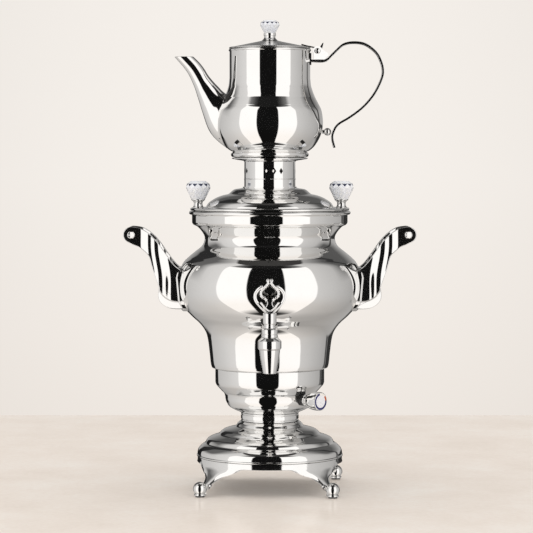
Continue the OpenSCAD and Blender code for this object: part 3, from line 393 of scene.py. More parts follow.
# %% The world shader
def room(world):
    """World shader: the direction's bearing picks a place round the room, and its height
    picks the row with panels, the row without, or the dark ceiling. The flags, a black
    patch high behind and the warmth of the floor are laid over that.
    bearing = atan2(x, -y), height = asin(z)."""
    add = graph(world)
    x, y, z = xyz(add, add("TexCoord").outputs["Generated"])
    bearing = calc(add, "ARCTAN2", x, calc(add, "MULTIPLY", y, -1.0))
    turn = calc(add, "MULTIPLY_ADD", bearing, 1 / (2 * np.pi), 0.5)
    height = calc(add, "MULTIPLY", calc(add, "ARCSINE", z), 180 / np.pi)

    def row(places):
        return ramp(add, turn, [((b + 180) / 360, (v, v * 0.98, v * 0.96))
                                for b, v in LEFT_WALL + places + RIGHT_WALL])

    above = remap(add, height, PANEL_TOP - 0.5, PANEL_TOP + 0.5)
    below = remap(add, height, PANEL_FOOT + 6, PANEL_FOOT - 6)
    seen = mix(add, calc(add, "MAXIMUM", above, below), row(PANELS), row(NO_PANELS))
    seen = mix(add, remap(add, height, WALL_TOP - 1, WALL_TOP + 1), seen, CEILING)
    for places, foot, head in (FLAGS, LOW_FLAGS):
        flag = ramp(add, turn, [((b + 180) / 360, v) for b, v in places])
        span = calc(add, "MULTIPLY", remap(add, height, *foot), remap(add, height, *head[::-1]))
        seen = mix(add, calc(add, "MULTIPLY", flag, span), seen, FLAG_BLACK)
    behind, lifted = remap(add, y, *BACK_FROM), remap(add, height, *BACK_RISE, 0.0, BACK_DENSE)
    seen = mix(add, calc(add, "MULTIPLY", behind, lifted), seen, BACK_BLACK)
    tint = mix(add, remap(add, height, *FLOOR_FADE), UNTINTED, FLOOR_TINT)
    mirror = add("Background", {0: mix(add, 1.0, seen, tint, "MULTIPLY"), 1: 1.0})

    wall = ramp(add, remap(add, height, *WALL_FADE), WALL_COLOURS)
    aside = remap(add, calc(add, "MULTIPLY", x, x), *ASIDE_FADE, 0.0, ASIDE_DENSE)
    pale = add("Background", {0: mix(add, aside, wall, WALL_SHADE), 1: 1.0})
    even = add("Background", {0: EVEN_COLOUR, 1: EVEN_LIGHT})

    path = add("LightPath").outputs
    shiny = calc(add, "MAXIMUM", path["Is Glossy Ray"], path["Is Transmission Ray"])
    first = add("MixShader", {0: path["Is Camera Ray"], 1: even.outputs[0], 2: pale.outputs[0]})
    both = add("MixShader", {0: shiny, 1: first.outputs[0], 2: mirror.outputs[0]})
    add("OutputWorld", {0: both.outputs[0]})


world = bpy.data.worlds.new("studio")
room(world)
bpy.context.scene.world = world
print("room with", len(LEFT_WALL + PANELS + RIGHT_WALL), "places round it")

# %% [markdown]
# ## The table top
#
# The samovar stands on a pale stone slab whose far edge is just seen. A thin box is
# enough, with a soft mottling of creams. Its gloss is nearly off: seen at such a flat
# angle, gloss would swap a quarter of the table's own light for the dark of the room.
# Mirror rays pass through it, because the room's pattern already has a floor.


# %% Table
def stone():
    """Mottled stone: large clouds for seven parts and fine grain for three."""
    material, add, shader = finish_of("table_stone", (0.81, 0.73, 0.66), Roughness=0.16,
                                      **{"Specular IOR Level": 0.01})
    tone = calc(add, "MULTIPLY_ADD", noise(add, 160.0, 3.0), 0.3,
                calc(add, "MULTIPLY", noise(add, 9.0, 5.0, 0.6), 0.7))
    creams = [(0.30, (0.82, 0.73, 0.65)), (0.50, (0.88, 0.795, 0.72)), (0.68, (0.92, 0.86, 0.795))]
    feed(shader, {"Base Color": ramp(add, tone, creams)})
    return material


SLAB_X, SLAB_Y, SLAB_Z = (-1300.0, 1300.0), (-800.0, 720.0), (-30.0, 0.0)
corners = np.stack(np.meshgrid(SLAB_X, SLAB_Y, SLAB_Z, indexing="ij"), -1).reshape(-1, 3)
sides = [(0, 1, 3, 2), (4, 6, 7, 5), (0, 4, 5, 1), (2, 3, 7, 6), (0, 2, 6, 4), (1, 5, 7, 3)]
table = new_piece("table", corners, sides, stone())
table.visible_glossy = False
print("table", table.dimensions)

# %% [markdown]
# ## Finishes
#
# A spun shell is polished on the lathe until it mirrors, and what stays is a trace of
# rings and a few long, slow waves of the sheet. A casting keeps a slightly pebbled
# skin under its plating. These traces are tilts of the surface of a few hundredths of
# a millimetre, so they are bumps and not geometry. Bumps take their pattern from the
# place on the object, which keeps them still when a part turns.

# %% Mirror metal and plain finishes
SILVER = (0.90, 0.895, 0.885)


def chrome(name, colour, roughness, wave=0.0, wave_size=20.0, rings=0.0, ring_pitch=0.8):
    """Mirror metal. wave is the depth in mm of slow dents wave_size mm long, or else rings
    is that of turning lines ring_pitch mm apart. Roughness varies a little in clouds."""
    material, add, shader = finish_of(name, colour, Metallic=1.0, Roughness=roughness)
    cloud = noise(add, 35.0, 3.0)
    wear = calc(add, "MULTIPLY_ADD", noise(add, 420.0), 0.4, calc(add, "MULTIPLY", cloud, 0.6))
    tarnish = tuple(0.97 * c for c in colour)
    feed(shader, {"Base Color": ramp(add, cloud, [(0.3, tarnish), (0.7, colour)]),
                  "Roughness": remap(add, wear, 0.3, 0.7, 0.7 * roughness, 1.4 * roughness)})
    if wave:
        dents = calc(add, "MULTIPLY", noise(add, 1000.0 / wave_size, 1.0), wave * MM)
        feed(shader, {"Normal": bump(add, dents)})
    elif rings:
        along = calc(add, "MULTIPLY", xyz(add, place_on(add))[2], 2 * np.pi / (ring_pitch * MM))
        cuts = calc(add, "MULTIPLY", calc(add, "SINE", along), rings * MM)
        feed(shader, {"Normal": bump(add, cuts)})
    return material


def plain(name, colour, roughness, speckle=0.1):
    """A plain finish whose colour varies in fine clouds by a share speckle, and its
    roughness by 0.15."""
    material, add, shader = finish_of(name, colour, Roughness=roughness)
    cloud = noise(add, 300.0, 3.0)
    low, high = (tuple(min(1.0, c * k) for c in colour) for k in (1 - speckle, 1 + speckle))
    feed(shader, {"Base Color": ramp(add, cloud, [(0.3, low), (0.7, high)]),
                  "Roughness": remap(add, cloud, 0.3, 0.7, roughness * 0.85, roughness * 1.15)})
    return material


print("silver reflects", SILVER, "of red, green and blue")


# %% [markdown]
# The arms of the side handles are flat castings, but hand polishing leaves shallow
# facets and hollows on a flat face, and a mirror shows each one. They are a height
# pattern too: a line of facets across the arm, which gives way to a plain slope
# outside the circle of the heel.

# %% The polished arms
FACET_LINE = [(100, 0.0), (111.2, 0.0), (123.4, 3.7), (125.4, 3.7), (130.6, 2.1), (131.8, 2.1),
              (142.6, 5.2), (165, 5.2)]
FACET_START, FACET_WIDE, FACET_HIGH = 100.0, 65.0, 6.0
ARM_LEAN, ARM_MIDDLE = 0.085, 246.5
HEEL_X, HEEL_Z, HEEL_R = 103.5, 236.0, 22.2
SWAY_HIGH, SWAY_TURN = 0.9, 0.11
FALL_ACROSS, FALL_OUT = -0.3, -0.16


def arm_finish():
    """Bright casting with facets across the arm. The height is FACET_LINE over
    u = |x| - ARM_LEAN (z - ARM_MIDDLE) in mm, which sways by SWAY_HIGH sin(SWAY_TURN z).
    Outside the heel's circle and below it, the height falls with u and with the distance
    from the circle."""
    material = chrome("arm_casting", SILVER, 0.045, wave=0.03, wave_size=12.0)
    add, shader = reopen(material)
    x, y, z = xyz(add, place_on(add))
    wide = calc(add, "MULTIPLY", calc(add, "ABSOLUTE", x), 1000.0)
    tall = calc(add, "MULTIPLY", z, 1000.0)
    lean = calc(add, "MULTIPLY_ADD", tall, ARM_LEAN, -ARM_LEAN * ARM_MIDDLE)
    u = calc(add, "SUBTRACT", wide, lean)
    sway = calc(add, "SINE", calc(add, "MULTIPLY", tall, SWAY_TURN))
    u = calc(add, "MULTIPLY_ADD", sway, SWAY_HIGH, u)
    stops = [((p - FACET_START) / FACET_WIDE, h / FACET_HIGH) for p, h in FACET_LINE]
    across = remap(add, u, FACET_START, FACET_START + FACET_WIDE)
    face = calc(add, "MULTIPLY", ramp(add, across, stops, "EASE"), FACET_HIGH)
    wide, tall = calc(add, "SUBTRACT", wide, HEEL_X), calc(add, "SUBTRACT", tall, HEEL_Z)
    square = calc(add, "MULTIPLY_ADD", wide, wide, calc(add, "MULTIPLY", tall, tall))
    out = calc(add, "SUBTRACT", calc(add, "SQRT", square), HEEL_R)
    heel = calc(add, "MULTIPLY", remap(add, out, -0.5, 0.8), remap(add, tall, -7.0, -10.0))
    low = calc(add, "MULTIPLY_ADD", u, FALL_ACROSS, calc(add, "MULTIPLY", out, FALL_OUT))
    both = add("Mix", {0: heel, 2: face, 3: low}).outputs[0]
    flat = remap(add, calc(add, "ABSOLUTE", facing(add)[1]), 0.97, 0.995)
    height = calc(add, "MULTIPLY", calc(add, "MULTIPLY", both, flat), MM)
    feed(shader, {"Normal": bump(add, height)})
    return material


print("the facets rise to", max(high for _, high in FACET_LINE), "mm")


# %% Metal that isn't the same all over
def domed():
    """Bright casting whose flat cheeks lean a few degrees, so that they show a white panel
    and not the dark slot: the height falls by 0.3 mm for each mm of x."""
    material = chrome("domed_cheeks", SILVER, 0.12, wave=0.02, wave_size=6.0)
    add, shader = reopen(material)
    flat = remap(add, calc(add, "ABSOLUTE", facing(add)[1]), 0.9, 0.97)
    slope = calc(add, "MULTIPLY", xyz(add, place_on(add))[0], -0.3)
    feed(shader, {"Normal": bump(add, calc(add, "MULTIPLY", slope, flat))})
    return material


def off_axis(add):
    """Distance from the samovar's axis."""
    flat = add("VectorMath", {0: place_on(add), 1: (1, 1, 0)}, operation="MULTIPLY").outputs[0]
    return add("VectorMath", {0: flat}, operation="LENGTH").outputs["Value"]


def to_front(add):
    """Distance in front of the samovar's axis."""
    return calc(add, "MULTIPLY", xyz(add, place_on(add))[1], -1.0)


def painted_shade_side(name, away, low, high, shade_level, **metal):
    """Mirror metal where the length away, measured by the given function, is over high
    mm. Where it is under low, the colour is a painted shade of the given brightness."""
    material = chrome(name, SILVER, **metal)
    add, shader = reopen(material)
    shine = shader.inputs["Base Color"].links[0].from_socket
    bright = remap(add, away(add), low * MM, high * MM)
    # Painted shade: the dark colour stands in for shade on the side away from the light.
    feed(shader, {"Base Color": mix(add, bright, (shade_level, 0.93 * shade_level, 0.88 * shade_level, 1.0), shine)})
    return material


print("helpers for uneven metal are ready")

# %% All the metals and plastics
FINISH = {
    "polished_steel": chrome("mirror_steel", SILVER, 0.035, wave=0.010, wave_size=22.0),
    "cast_chrome": chrome("mirror_casting", SILVER, 0.060, wave=0.030, wave_size=9.0),
    "turned_chrome": chrome("turned_chrome", SILVER, 0.055, rings=0.0006),
    "plain_steel": chrome("zinc_steel", (0.62, 0.62, 0.61), 0.26, wave=0.01, wave_size=3.0),
    "aluminium_plate": chrome("rolled_aluminium", (0.75, 0.75, 0.76), 0.34),
    "element_sheath": chrome("element_sheath", (0.34, 0.33, 0.32), 0.42),
    "brass_pins": chrome("bright_brass", (0.83, 0.66, 0.34), 0.14),
    "black_plastic": plain("black_plastic", (0.022, 0.021, 0.021), 0.38),
    "grip": plain("black_grip", (0.014, 0.013, 0.013), 0.16),
    "silicone": plain("silicone", (0.82, 0.82, 0.79), 0.5, speckle=0.04),
    "satin_lid": chrome("satin_steel", (0.80, 0.795, 0.785), 0.22, wave=0.01, wave_size=25.0),
    "strap_steel": chrome("strap_steel", SILVER, 0.05, wave=0.02, wave_size=12.0),
    "arm_chrome": arm_finish(),
    "turned_knob": chrome("turned_knob", SILVER, 0.05),
    # The stand ring is painted dark inside: painted shade that its holes show.
    "vented": painted_shade_side("vented_steel", off_axis, low=28.55, high=28.85, shade_level=0.035,
                        roughness=0.035, wave=0.01),
    # The key is painted dark on its back, towards the tank: painted shade.
    "key_casting": painted_shade_side("key_casting", to_front, low=123.4, high=124.0, shade_level=0.05,
                             roughness=0.05, wave=0.03, wave_size=5.0),
    "domed": domed(),
}
print(len(FINISH), "finishes so far")

# %% [markdown]
# ## Cut knobs and the dial
#
# The cut knobs are clear acrylic. Full transmission would show mostly the dark metal behind
# them, and the real ones look white, because their facets throw the room's light back.
# So the body is painted white in place of that light, a painted reflection, under a glassy
# skin, and lets only a little light through. The dial is white enamel with a scale printed
# round its rim.

# %% Clear knobs and the printed dial
CROWN_UP, CROWN_SPREAD = 0.5, 0.09


def cut_acrylic():
    """Clear white cut crystal. The crown facets whose tip points down, picked by how far
    they face up, are painted dark: a painted reflection in place of the table edge that
    would show through them."""
    # The white base colour is a painted reflection of the light that the facets throw back.
    material, add, shader = finish_of("cut_acrylic", (0.985, 0.99, 1.0), Roughness=0.03,
                                      IOR=1.6, **{"Transmission Weight": 0.06})
    streak = add("TexVoronoi", {"Vector": place_on(add), "Scale": 260.0}).outputs["Distance"]
    tint = ramp(add, streak, [(0.25, (1.0, 1.0, 1.0)), (0.62, (0.93, 0.945, 1.0))])
    dark_reflection_mask = calc(add, "COMPARE", facing(add)[2], CROWN_UP, CROWN_SPREAD)
    # Painted reflection: the crown facets that face half up turn dark blue-black.
    tint = mix(add, calc(add, "MULTIPLY", dark_reflection_mask, 0.95), tint, (0.02, 0.028, 0.07, 1.0))
    feed(shader, {"Base Color": tint})
    return material


def printed_dial(centre, up, right):
    """White enamel with a scale round its rim: navy, a pale gap at the top and an orange
    end. The distance from the centre picks the band, and the bearing from the up
    direction picks the colour on it. Fine specks take up to 0.07 off the ink."""
    material, add, shader = finish_of("printed_dial", (0.9, 0.9, 0.92), Roughness=0.16)
    spot = add("VectorMath", {0: place_on(add), 1: tuple(c * MM for c in centre)},
               operation="SUBTRACT").outputs[0]
    high, wide = (add("VectorMath", {0: spot, 1: way}, operation="DOT_PRODUCT").outputs["Value"]
                  for way in (up, right))
    away = add("VectorMath", {0: spot}, operation="LENGTH").outputs["Value"]
    turn = calc(add, "MULTIPLY_ADD", calc(add, "ARCTAN2", wide, high), 1 / (2 * np.pi), 0.5)
    white, navy, warm = (0.90, 0.905, 0.95, 1.0), (0.016, 0.018, 0.13), (0.52, 0.11, 0.035)
    scale = ramp(add, turn, [(0, navy), (170 / 360, (0.93, 0.89, 0.84)), (228 / 360, warm),
                             (265 / 360, navy)], "CONSTANT")
    band = ramp(add, calc(add, "DIVIDE", away, DIAL_R * MM), [(0, 0.0), (0.75, 1.0), (0.985, 0.0)],
                "CONSTANT")
    specks = remap(add, noise(add, 900.0), 0.3, 0.7, 0.93, 1.0)
    feed(shader, {"Base Color": mix(add, 1.0, mix(add, band, white, scale), specks, "MULTIPLY")})
    return material


S = 2 ** -0.5
REGULATOR = dict(origin=(0, 0, 104.5), axis=(S, -S, 0))
DIAL_FACE, DIAL_R = 80.0, 9.45
FINISH["crystal"] = cut_acrylic()
FINISH["dial_face"] = printed_dial((S * DIAL_FACE, -S * DIAL_FACE, 104.5), (0, 0, 1), (S, S, 0))
print(len(FINISH), "finishes")

# %% [markdown]
# ## From a shape to a piece of the samovar
#
# A new piece needs two words to the imported model: the body that it moves with, and
# the nodes that it stands for, which are then hidden. One helper makes the mesh and
# says both.


# %% Making a piece
def seat(piece, body, slot, *nodes):
    """The piece moves with a body and stands for these nodes. The slot is not used."""
    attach(piece, body)
    if nodes:
        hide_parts(*nodes)
    print(piece.name, "rides on", body, "and stands for", nodes or "nothing")


def make(name, shape, finish, body, *nodes, slot=None, sharp=35.0):
    """A piece from points and faces. Its slot is its finish's own, if none is given."""
    seat(new_piece(name, *shape, FINISH[finish], sharp), body, slot or finish, *nodes)


# %% [markdown]
# ## The base casting
#
# The skirt is a bell that sweeps out into four legs, with a flat arch between each
# two. It is cast in one piece about three millimetres thick. Its outer face is drawn
# as a surface: one direction follows the arch's edge from leg to leg, and the other
# climbs from that edge to the seam. Cutting arches out of a turned bell with booleans
# would leave ragged facets where the mirror finish shows everything. Solidify gives
# the wall, and Bevel rounds its rim.

# %% Skirt
SOLE, ARCH, SEAM = 2.2, 31.25, 37.0
ARCH_SPAN = (41, 57.983)
LEG_TURN, FOOT_R = -3.0, 104.0
# (radius, height) down the middle of a leg, and (half width, height) of its outline.
LEG_SWEEP = flow([(104.5, SOLE), (103.8, 5.5), (101.8, 9.0), (98.6, 12.0), (95.2, 14.9),
                  (91.6, 18.0), (88.0, 21.6), (85.2, 25.4), (83.0, 29.4), (82, 34)])
LEG_HALF = flow([(5.0, SOLE), (5.4, 6), (5.6, 9.5), (6.2, 12.5), (7.8, 15.4), (10.6, 18.6),
                 (15.2, 21.4), (21.5, 23.4), (26.5, 25.8), (33, 30.2), (38, 31.2)])
EDGE_BAND, EDGE_DROP, DROP_TOP, DROP_FADE = 7.0, 2.8, 31.2, 7.0


def skirt(name, material):
    """Outer face of one casting. An edge point (w, z) has its own line up to the seam,
    on which w glides to an even share of the quarter turn. The radius at height z is
    LEG_SWEEP's, and the bearing from the leg's middle is asin(w / radius). Within
    EDGE_BAND of the edge it falls back by EDGE_DROP times (1 - gap / EDGE_BAND) squared,
    and less where the edge is near DROP_TOP."""
    edge = np.vstack([[[0, SOLE], [0.5 * LEG_HALF[0, 0], SOLE]], LEG_HALF,
                      np.stack([np.linspace(*ARCH_SPAN, 9), np.full(9, ARCH)], 1)])
    run = np.r_[0, np.cumsum(np.linalg.norm(np.diff(edge, axis=0), axis=1))]
    t = np.linspace(0, 1, 29)[:, None]
    z = edge[None, :, 1] * (1 - t) + SEAM * t
    r = np.interp(z, LEG_SWEEP[:, 1], LEG_SWEEP[:, 0])
    low = np.degrees(np.arcsin(np.clip(edge[:, 0] / r, 0, np.sin(np.radians(45)))))
    glide = np.clip(t * 1.15, 0, 1) ** 1.6
    half = low * (1 - glide) + 45.0 * run / run[-1] * glide
    half[:, -1] = 45.0
    turn, tall, wide = (np.concatenate([sign * v[:, :0:-1], v[:, :-1]], 1)
                        for sign, v in ((-1, half), (1, z), (1, r)))
    across, rim = np.abs(wide * np.sin(np.radians(turn))), edge[2:]
    gap = np.hypot(across[..., None] - rim[:, 0], tall[..., None] - rim[:, 1])
    fade = np.clip((DROP_TOP - rim[:, 1][gap.argmin(-1)]) / DROP_FADE, 0, 1)
    wide = wide - EDGE_DROP * fade * np.clip(1 - gap.min(-1) / EDGE_BAND, 0, 1) ** 2
    a = np.radians(np.concatenate([turn + q + LEG_TURN - 45 for q in (0, 90, 180, 270)], 1))
    wide, tall = np.tile(wide, 4), np.tile(tall, 4)
    grid = np.stack([wide * np.cos(a), wide * np.sin(a), tall], -1)
    piece = new_piece(name, grid.reshape(-1, 3), quads(*a.shape, wrap_cols=True), material,
                      sharp=50)
    wall = piece.modifiers.new("wall", "SOLIDIFY")
    wall.thickness, wall.offset = 2.8 * MM, -1.0
    rounding = piece.modifiers.new("rim", "BEVEL")
    rounding.width, rounding.segments = 0.5 * MM, 3
    rounding.limit_method, rounding.angle_limit = "ANGLE", 0.9
    return piece


seat(skirt("base_skirt", FINISH["cast_chrome"]), "root", "cast_chrome", "base_ring")

# %% Feet
foot_line = np.vstack([[[0, 1.5], [6.0, 1.5], [6.5, 1.9], [6.6, 2.7], [6.2, 3.4]],
                       arc((0, 9.1), 7.6, -46, 84, 26), [[0, 16.7]]])
leg_bearings = np.radians([45 + LEG_TURN + 90 * k for k in range(4)])
feet = join(*[lathe(foot_line, 64, origin=(FOOT_R * np.cos(a), FOOT_R * np.sin(a), 0))
              for a in leg_bearings])
make("ball_feet", feet, "cast_chrome", "root")

# %% [markdown]
# ## The turned tower of the base
#
# Above the skirt stand a stepped dome, a narrow collar with two beads, and the flared
# housing of the heater. Each is one spun or turned part with a thin wall, so each is
# one closed line turned about the axis. The steps between the hollows of the dome are
# what catches the light, so their corners are rounded by only half a millimetre.

# %% Dome, collar and heater housing
dome_line = soften(np.vstack([
    [(81.0, 37.0), (82.0, 37.3)], arc((81.9, 38.5), 1.1, -70, 70, 8), [(82.15, 39.75)],
    flow([(82.2, 40.2), (82.0, 42.4), (80.7, 46), (77, 49.8), (73.8, 51.8)]),
    flow([(73.1, 52.4), (70.7, 56.6), (66.8, 58.9), (58.6, 61.6)]),
    flow([(57.3, 62.6), (54.3, 65.7), (50.4, 67.9), (39.2, 70.7)]),
    flow([(38.2, 71.8), (36.2, 74.7), (33.2, 77)])]), 0.5, turn=15)
make("dome", lathe(shell(dome_line, 1.0), 200), "polished_steel", "root", "base_dome")

collar_line = np.vstack([[(32.2, 77)], arc((31.7, 78.1), 1.1, -60, 75, 8),
                         [(32.2, 79.6), (32.8, 79.9), (32.8, 84.1), (32.2, 84.4)],
                         arc((31.7, 85.9), 1.1, -75, 60, 8), [(32.2, 87), (29.8, 87), (29.8, 77)]])
collar_line = soften(collar_line, 0.25, closed=True)
make("collar", lathe(collar_line, 128), "turned_chrome", "root", "neck_collar")

housing_line = np.vstack([
    flow([(32.8, 87), (36.2, 88.5), (40.5, 90.4), (45.8, 93.4), (48.6, 97.4), (50.1, 101),
          (50.7, 105), (51.8, 108.7), (54.3, 111.2), (58.3, 115.5), (60.9, 118.6), (61.8, 121.5)]),
    [(61.8, 129), (61.8, 136.8)]])
make("heater_bowl", lathe(shell(housing_line, 1.0), 200), "polished_steel", "root",
     "heater_housing")

# %% [markdown]
# ## The tank
#
# The tank is one spun vase: a small foot roll, a bulb as wide as two hands, a tight
# throat and a straight band with a rolled rim. Its line decides nearly the whole
# picture, since it bends the white panels into long curved bands. So it is drawn in
# shares between four measured corners, foot, bulb, throat and band, and a corner that
# is corrected takes its neighbours along.

# %% Tank
def share(a, b, places):
    """Points between two corners, each given as its share of the way in r and in z."""
    return np.asarray(a) + np.asarray(places) * (np.asarray(b) - np.asarray(a))


TANK_FLOOR, TANK_HIGH, BAND_TOP = 137.0, 178.5, 302.0
foot, bulb = (66.5, TANK_FLOOR + 3.5), (104.7, TANK_FLOOR + 0.526 * TANK_HIGH)
throat, band = (73.6, TANK_FLOOR + 0.826 * TANK_HIGH), (88.0, TANK_FLOOR + 0.926 * TANK_HIGH)
vase = flow(np.vstack([
    [(62, 137), (65.4, 137.9), foot],
    share(foot, bulb, [(0.02, 0.05), (0.05, 0.174), (0.097, 0.324), (0.168, 0.425),
                       (0.332, 0.524), (0.586, 0.624), (0.798, 0.724), (0.955, 0.856)]), [bulb],
    share(bulb, throat, [(0.055, 0.234), (0.2, 0.464), (0.392, 0.591), (0.653, 0.718),
                         (0.907, 0.845)]), [throat],
    share(throat, band, [(0.18, 0.371), (0.549, 0.714), (0.889, 0.863)]), [band]]), 12)
inside = inset(vase, 1.0)[::-2]
straight = [(88, 302.6), (88, 306), (88, 310), (88, 310.4)]
tank_line = np.vstack([[(0, 137)], vase, straight, arc((89.2, 313.3), 2.2, -110, 90, 18),
                       [(87.4, 315.5), (87, 315.0), (87, 303)], inside[inside[:, 1] < BAND_TOP],
                       [(0, 138.2)]])
make("vase", lathe(tank_line, 240), "polished_steel", "root", "tank")

# %% [markdown]
# ## Lid and cut knobs of the tank
#
# The lid is a spun dome with a step, and a skirt that drops into the tank's mouth.
# It has two clear knobs, cut in twelve facets with a scalloped crown. Facets are flat,
# so the knob is a few rings of points, each turned half a facet from the one below,
# with triangles between. Smooth shading would turn it into a blob.

# %% Lid
lid_top = np.vstack([[(74, 318.7)],
                     flow([(72.5, 319), (71.3, 321.5), (68.8, 324.8), (63.7, 328.3), (59.2, 330.7),
                           (53.2, 332.8), (47.5, 334)]),
                     flow([(46, 334.8), (43.4, 337.2), (39.8, 339.6), (33.3, 340.7),
                           (30.9, 341.3)]),
                     [(20, 341.3)]])
lid_line = np.vstack([arc((88.5, 317.4), 1.5, -80, 80, 12), lid_top, inset(lid_top, 1.0)[::-1],
                      [(85.1, 317.6), (85.1, 308.5), (86.1, 308.5), (86.1, 316.1)]])
lid_line = soften(lid_line, 0.35, closed=True, turn=18)
make("lid_dome", lathe(lid_line, 220), "polished_steel", "lid", "tank_lid")


# %% Cut crystal
def cut_knob(radius, height, origin, facets=12):
    """Rings of a cut knob, given as share of the radius, share of the height and turn
    in half facets. Neighbouring rings are half a facet apart and joined by triangles.
    The top is a narrower ring, sunk by 0.09 of the height."""
    rings = [(0.56, 0.0, 0), (0.80, 0.30, 1), (0.985, 0.60, 0), (1.0, 0.70, 1),
             (0.90, 0.86, 0), (0.60, 1.0, 1)]
    j = np.arange(facets)
    points, faces = [], [j[::-1].tolist()]
    for k, (r, h, half) in enumerate(rings):
        a = (j + 0.5 * half) * 2 * np.pi / facets
        points.append(np.stack([radius * r * np.cos(a), radius * r * np.sin(a),
                                np.full(facets, height * h)], 1))
        if k:
            low, high, n = (k - 1) * facets, k * facets, (j + 1) % facets
            one, two = ([(low + j, low + n, high + j), (low + n, high + n, high + j)] if half
                        else [(low + j, high + n, high + j), (low + j, low + n, high + n)])
            faces += np.stack(one, 1).tolist() + np.stack(two, 1).tolist()
    last = (len(rings) - 1) * facets
    faces += (quads(2, facets, False, True) + last).tolist()
    points.append(points[-1] * [0.62, 0.62, 1] - [0, 0, 0.09 * height])
    faces.append((last + facets + j).tolist())
    return np.vstack(points) + origin, faces


stem_line = np.vstack([[(0, -5.9), (2, -5.9), (2, 0.2), (6.2, 0.2), (6.2, 0.9)],
                       flow([(5.4, 1.8), (4.9, 3.6), (4.9, 5.6), (6, 7.4), (7.8, 8.8)]),
                       [(7.8, 9.6), (0, 9.6)]])
KNOB_X = 81
stems = join(*[lathe(soften(stem_line, 0.25), 72, origin=(x, 0, 318.7)) for x in (-KNOB_X, KNOB_X)])
knobs = join(*[cut_knob(13.9, 20.6, (x, 0, 328.32)) for x in (-KNOB_X, KNOB_X)])
make("knob_cups", stems, "turned_chrome", "lid", "lid_knob_stems")
make("cut_knobs", knobs, "crystal", "lid", "lid_crystals", sharp=1.0)

# %% [markdown]
# ## The teapot's body, foot, seat and lid
#
# The teapot repeats the tank's vase at half the size. Its seat is a flared cup on the
# stand ring. Four turned lines make it, and a stem and a smaller cut knob finish the lid.

# %% Teapot, turned parts
pot_vase = np.vstack([
    flow([(43.3, 382.6), (46.8, 384.9), (51.3, 389.4), (56.6, 398.5), (59.4, 407.5), (60, 416.6),
          (58.5, 427.9), (56, 434)], 14), [(55.74, 434.5), (51.56, 442.5)],
    flow([(51.3, 443), (49.1, 448.3), (47.5, 453), (46.4, 457.3), (45.6, 465)], 14),
    [(45.6, 480), (45.6, 494)]])
pot_in = inset(pot_vase, 1.0)[::-1]
pot_line = np.vstack([[(0, 382.6)], pot_vase, arc((45, 496.4), 1.5, -60, 85, 14),
                      [(44.6, 497.9), (44.6, 494)],
                      pot_in[(pot_in[:, 1] < 493) & (pot_in[:, 1] > 384.2)], [(0, 383.7)]])
make("pot_vase", lathe(pot_line, 200), "polished_steel", "pot", "pot_body")

foot_ring = soften([(39.2, 375.3), (40.8, 375.3), (42.6, 376.2), (43.8, 377.6), (44.1, 379),
                    (43.8, 380.3), (42.6, 381.2), (42, 382.6), (37.7, 382.6), (39.2, 380.1)],
                   0.5, closed=True)
make("pot_foot_ring", lathe(foot_ring), "polished_steel", "pot", "pot_foot")

flare = soften([(27.9, 370.8), (28.9, 370.8), (29.9, 371.8), (42.9, 374), (42.9, 375), (38.9, 375),
                (38.9, 377.4), (37.9, 377.4), (37.9, 374), (27.9, 372.4)], 0.3, closed=True)
make("seat_flare", lathe(flare), "polished_steel", "lid", "pot_seat")

# %% The teapot's lid and its knob
cone = flow([(45, 499.5), (26.8, 503.3), (14, 505.95), (8, 507.3), (3, 507.5)])
cone_in = inset(cone, 0.9)[::-1]
cone_line = np.vstack([[(0, 506.6)], cone_in[(cone_in[:, 0] > 4) & (cone_in[:, 0] < 42.6)],
                       [(42.8, 499.0), (42.8, 491.8), (43.7, 491.8), (43.7, 498.3)],
                       arc((45.3, 499), 0.7, -90, 100, 10), cone[2:], [(0, 507.5)]])
make("pot_lid_cone", lathe(soften(cone_line, 0.2)), "satin_lid", "pot_lid", "pot_lid",
     slot="polished_steel")

cup_line = np.vstack([[(0, -2.9), (2.6, -2.9), (2.6, 0)],
                      flow([(9, 0), (7.4, 1.2), (6.4, 2.8), (6.3, 4.4), (6.9, 5.2)]),
                      [(6.9, 8), (0, 8)]])
make("pot_knob_cup", lathe(soften(cup_line, 0.2), 72, origin=(0, 0, 507.55)), "turned_chrome",
     "pot_lid", "pot_knob_stem")
make("pot_cut_knob", cut_knob(10.98, 14.4, (0, 0, 515.57)), "crystal", "pot_lid", "pot_crystal",
     sharp=1.0)

# %% [markdown]
# ## The swan spout
#
# The spout is pressed in two halves and welded: wide and flat where it leaves the
# bulb, and nearly round at the mouth. Two lines seen from the side fix it, its lower
# and its upper edge, and each ring is an ellipse hung between them. The first ring is
# laid on the bulb, which gives the seam its long curve. A tube along one middle line
# could not follow two edges at once.

# %% Spout
low_edge = flow([(47, 384.9), (60.6, 395.7), (69.4, 407.5), (76, 426.1), (80.6, 440.9),
                 (86, 456.9), (94, 472.9), (107.5, 488.9)], 9)
high_edge = flow([(49, 446.9), (53.4, 450.3), (57.4, 454.5), (63, 460.3), (69, 467.5),
                  (74, 475.5), (79.5, 482.5), (86, 488.9)], 9)
half_wide = flow(list(enumerate((17.8, 15.6, 13.2, 10.8, 9, 7.8, 7, 6.4))), 9)[:, 1]
ON_BULB, BULB_SINK = 9, 0.3


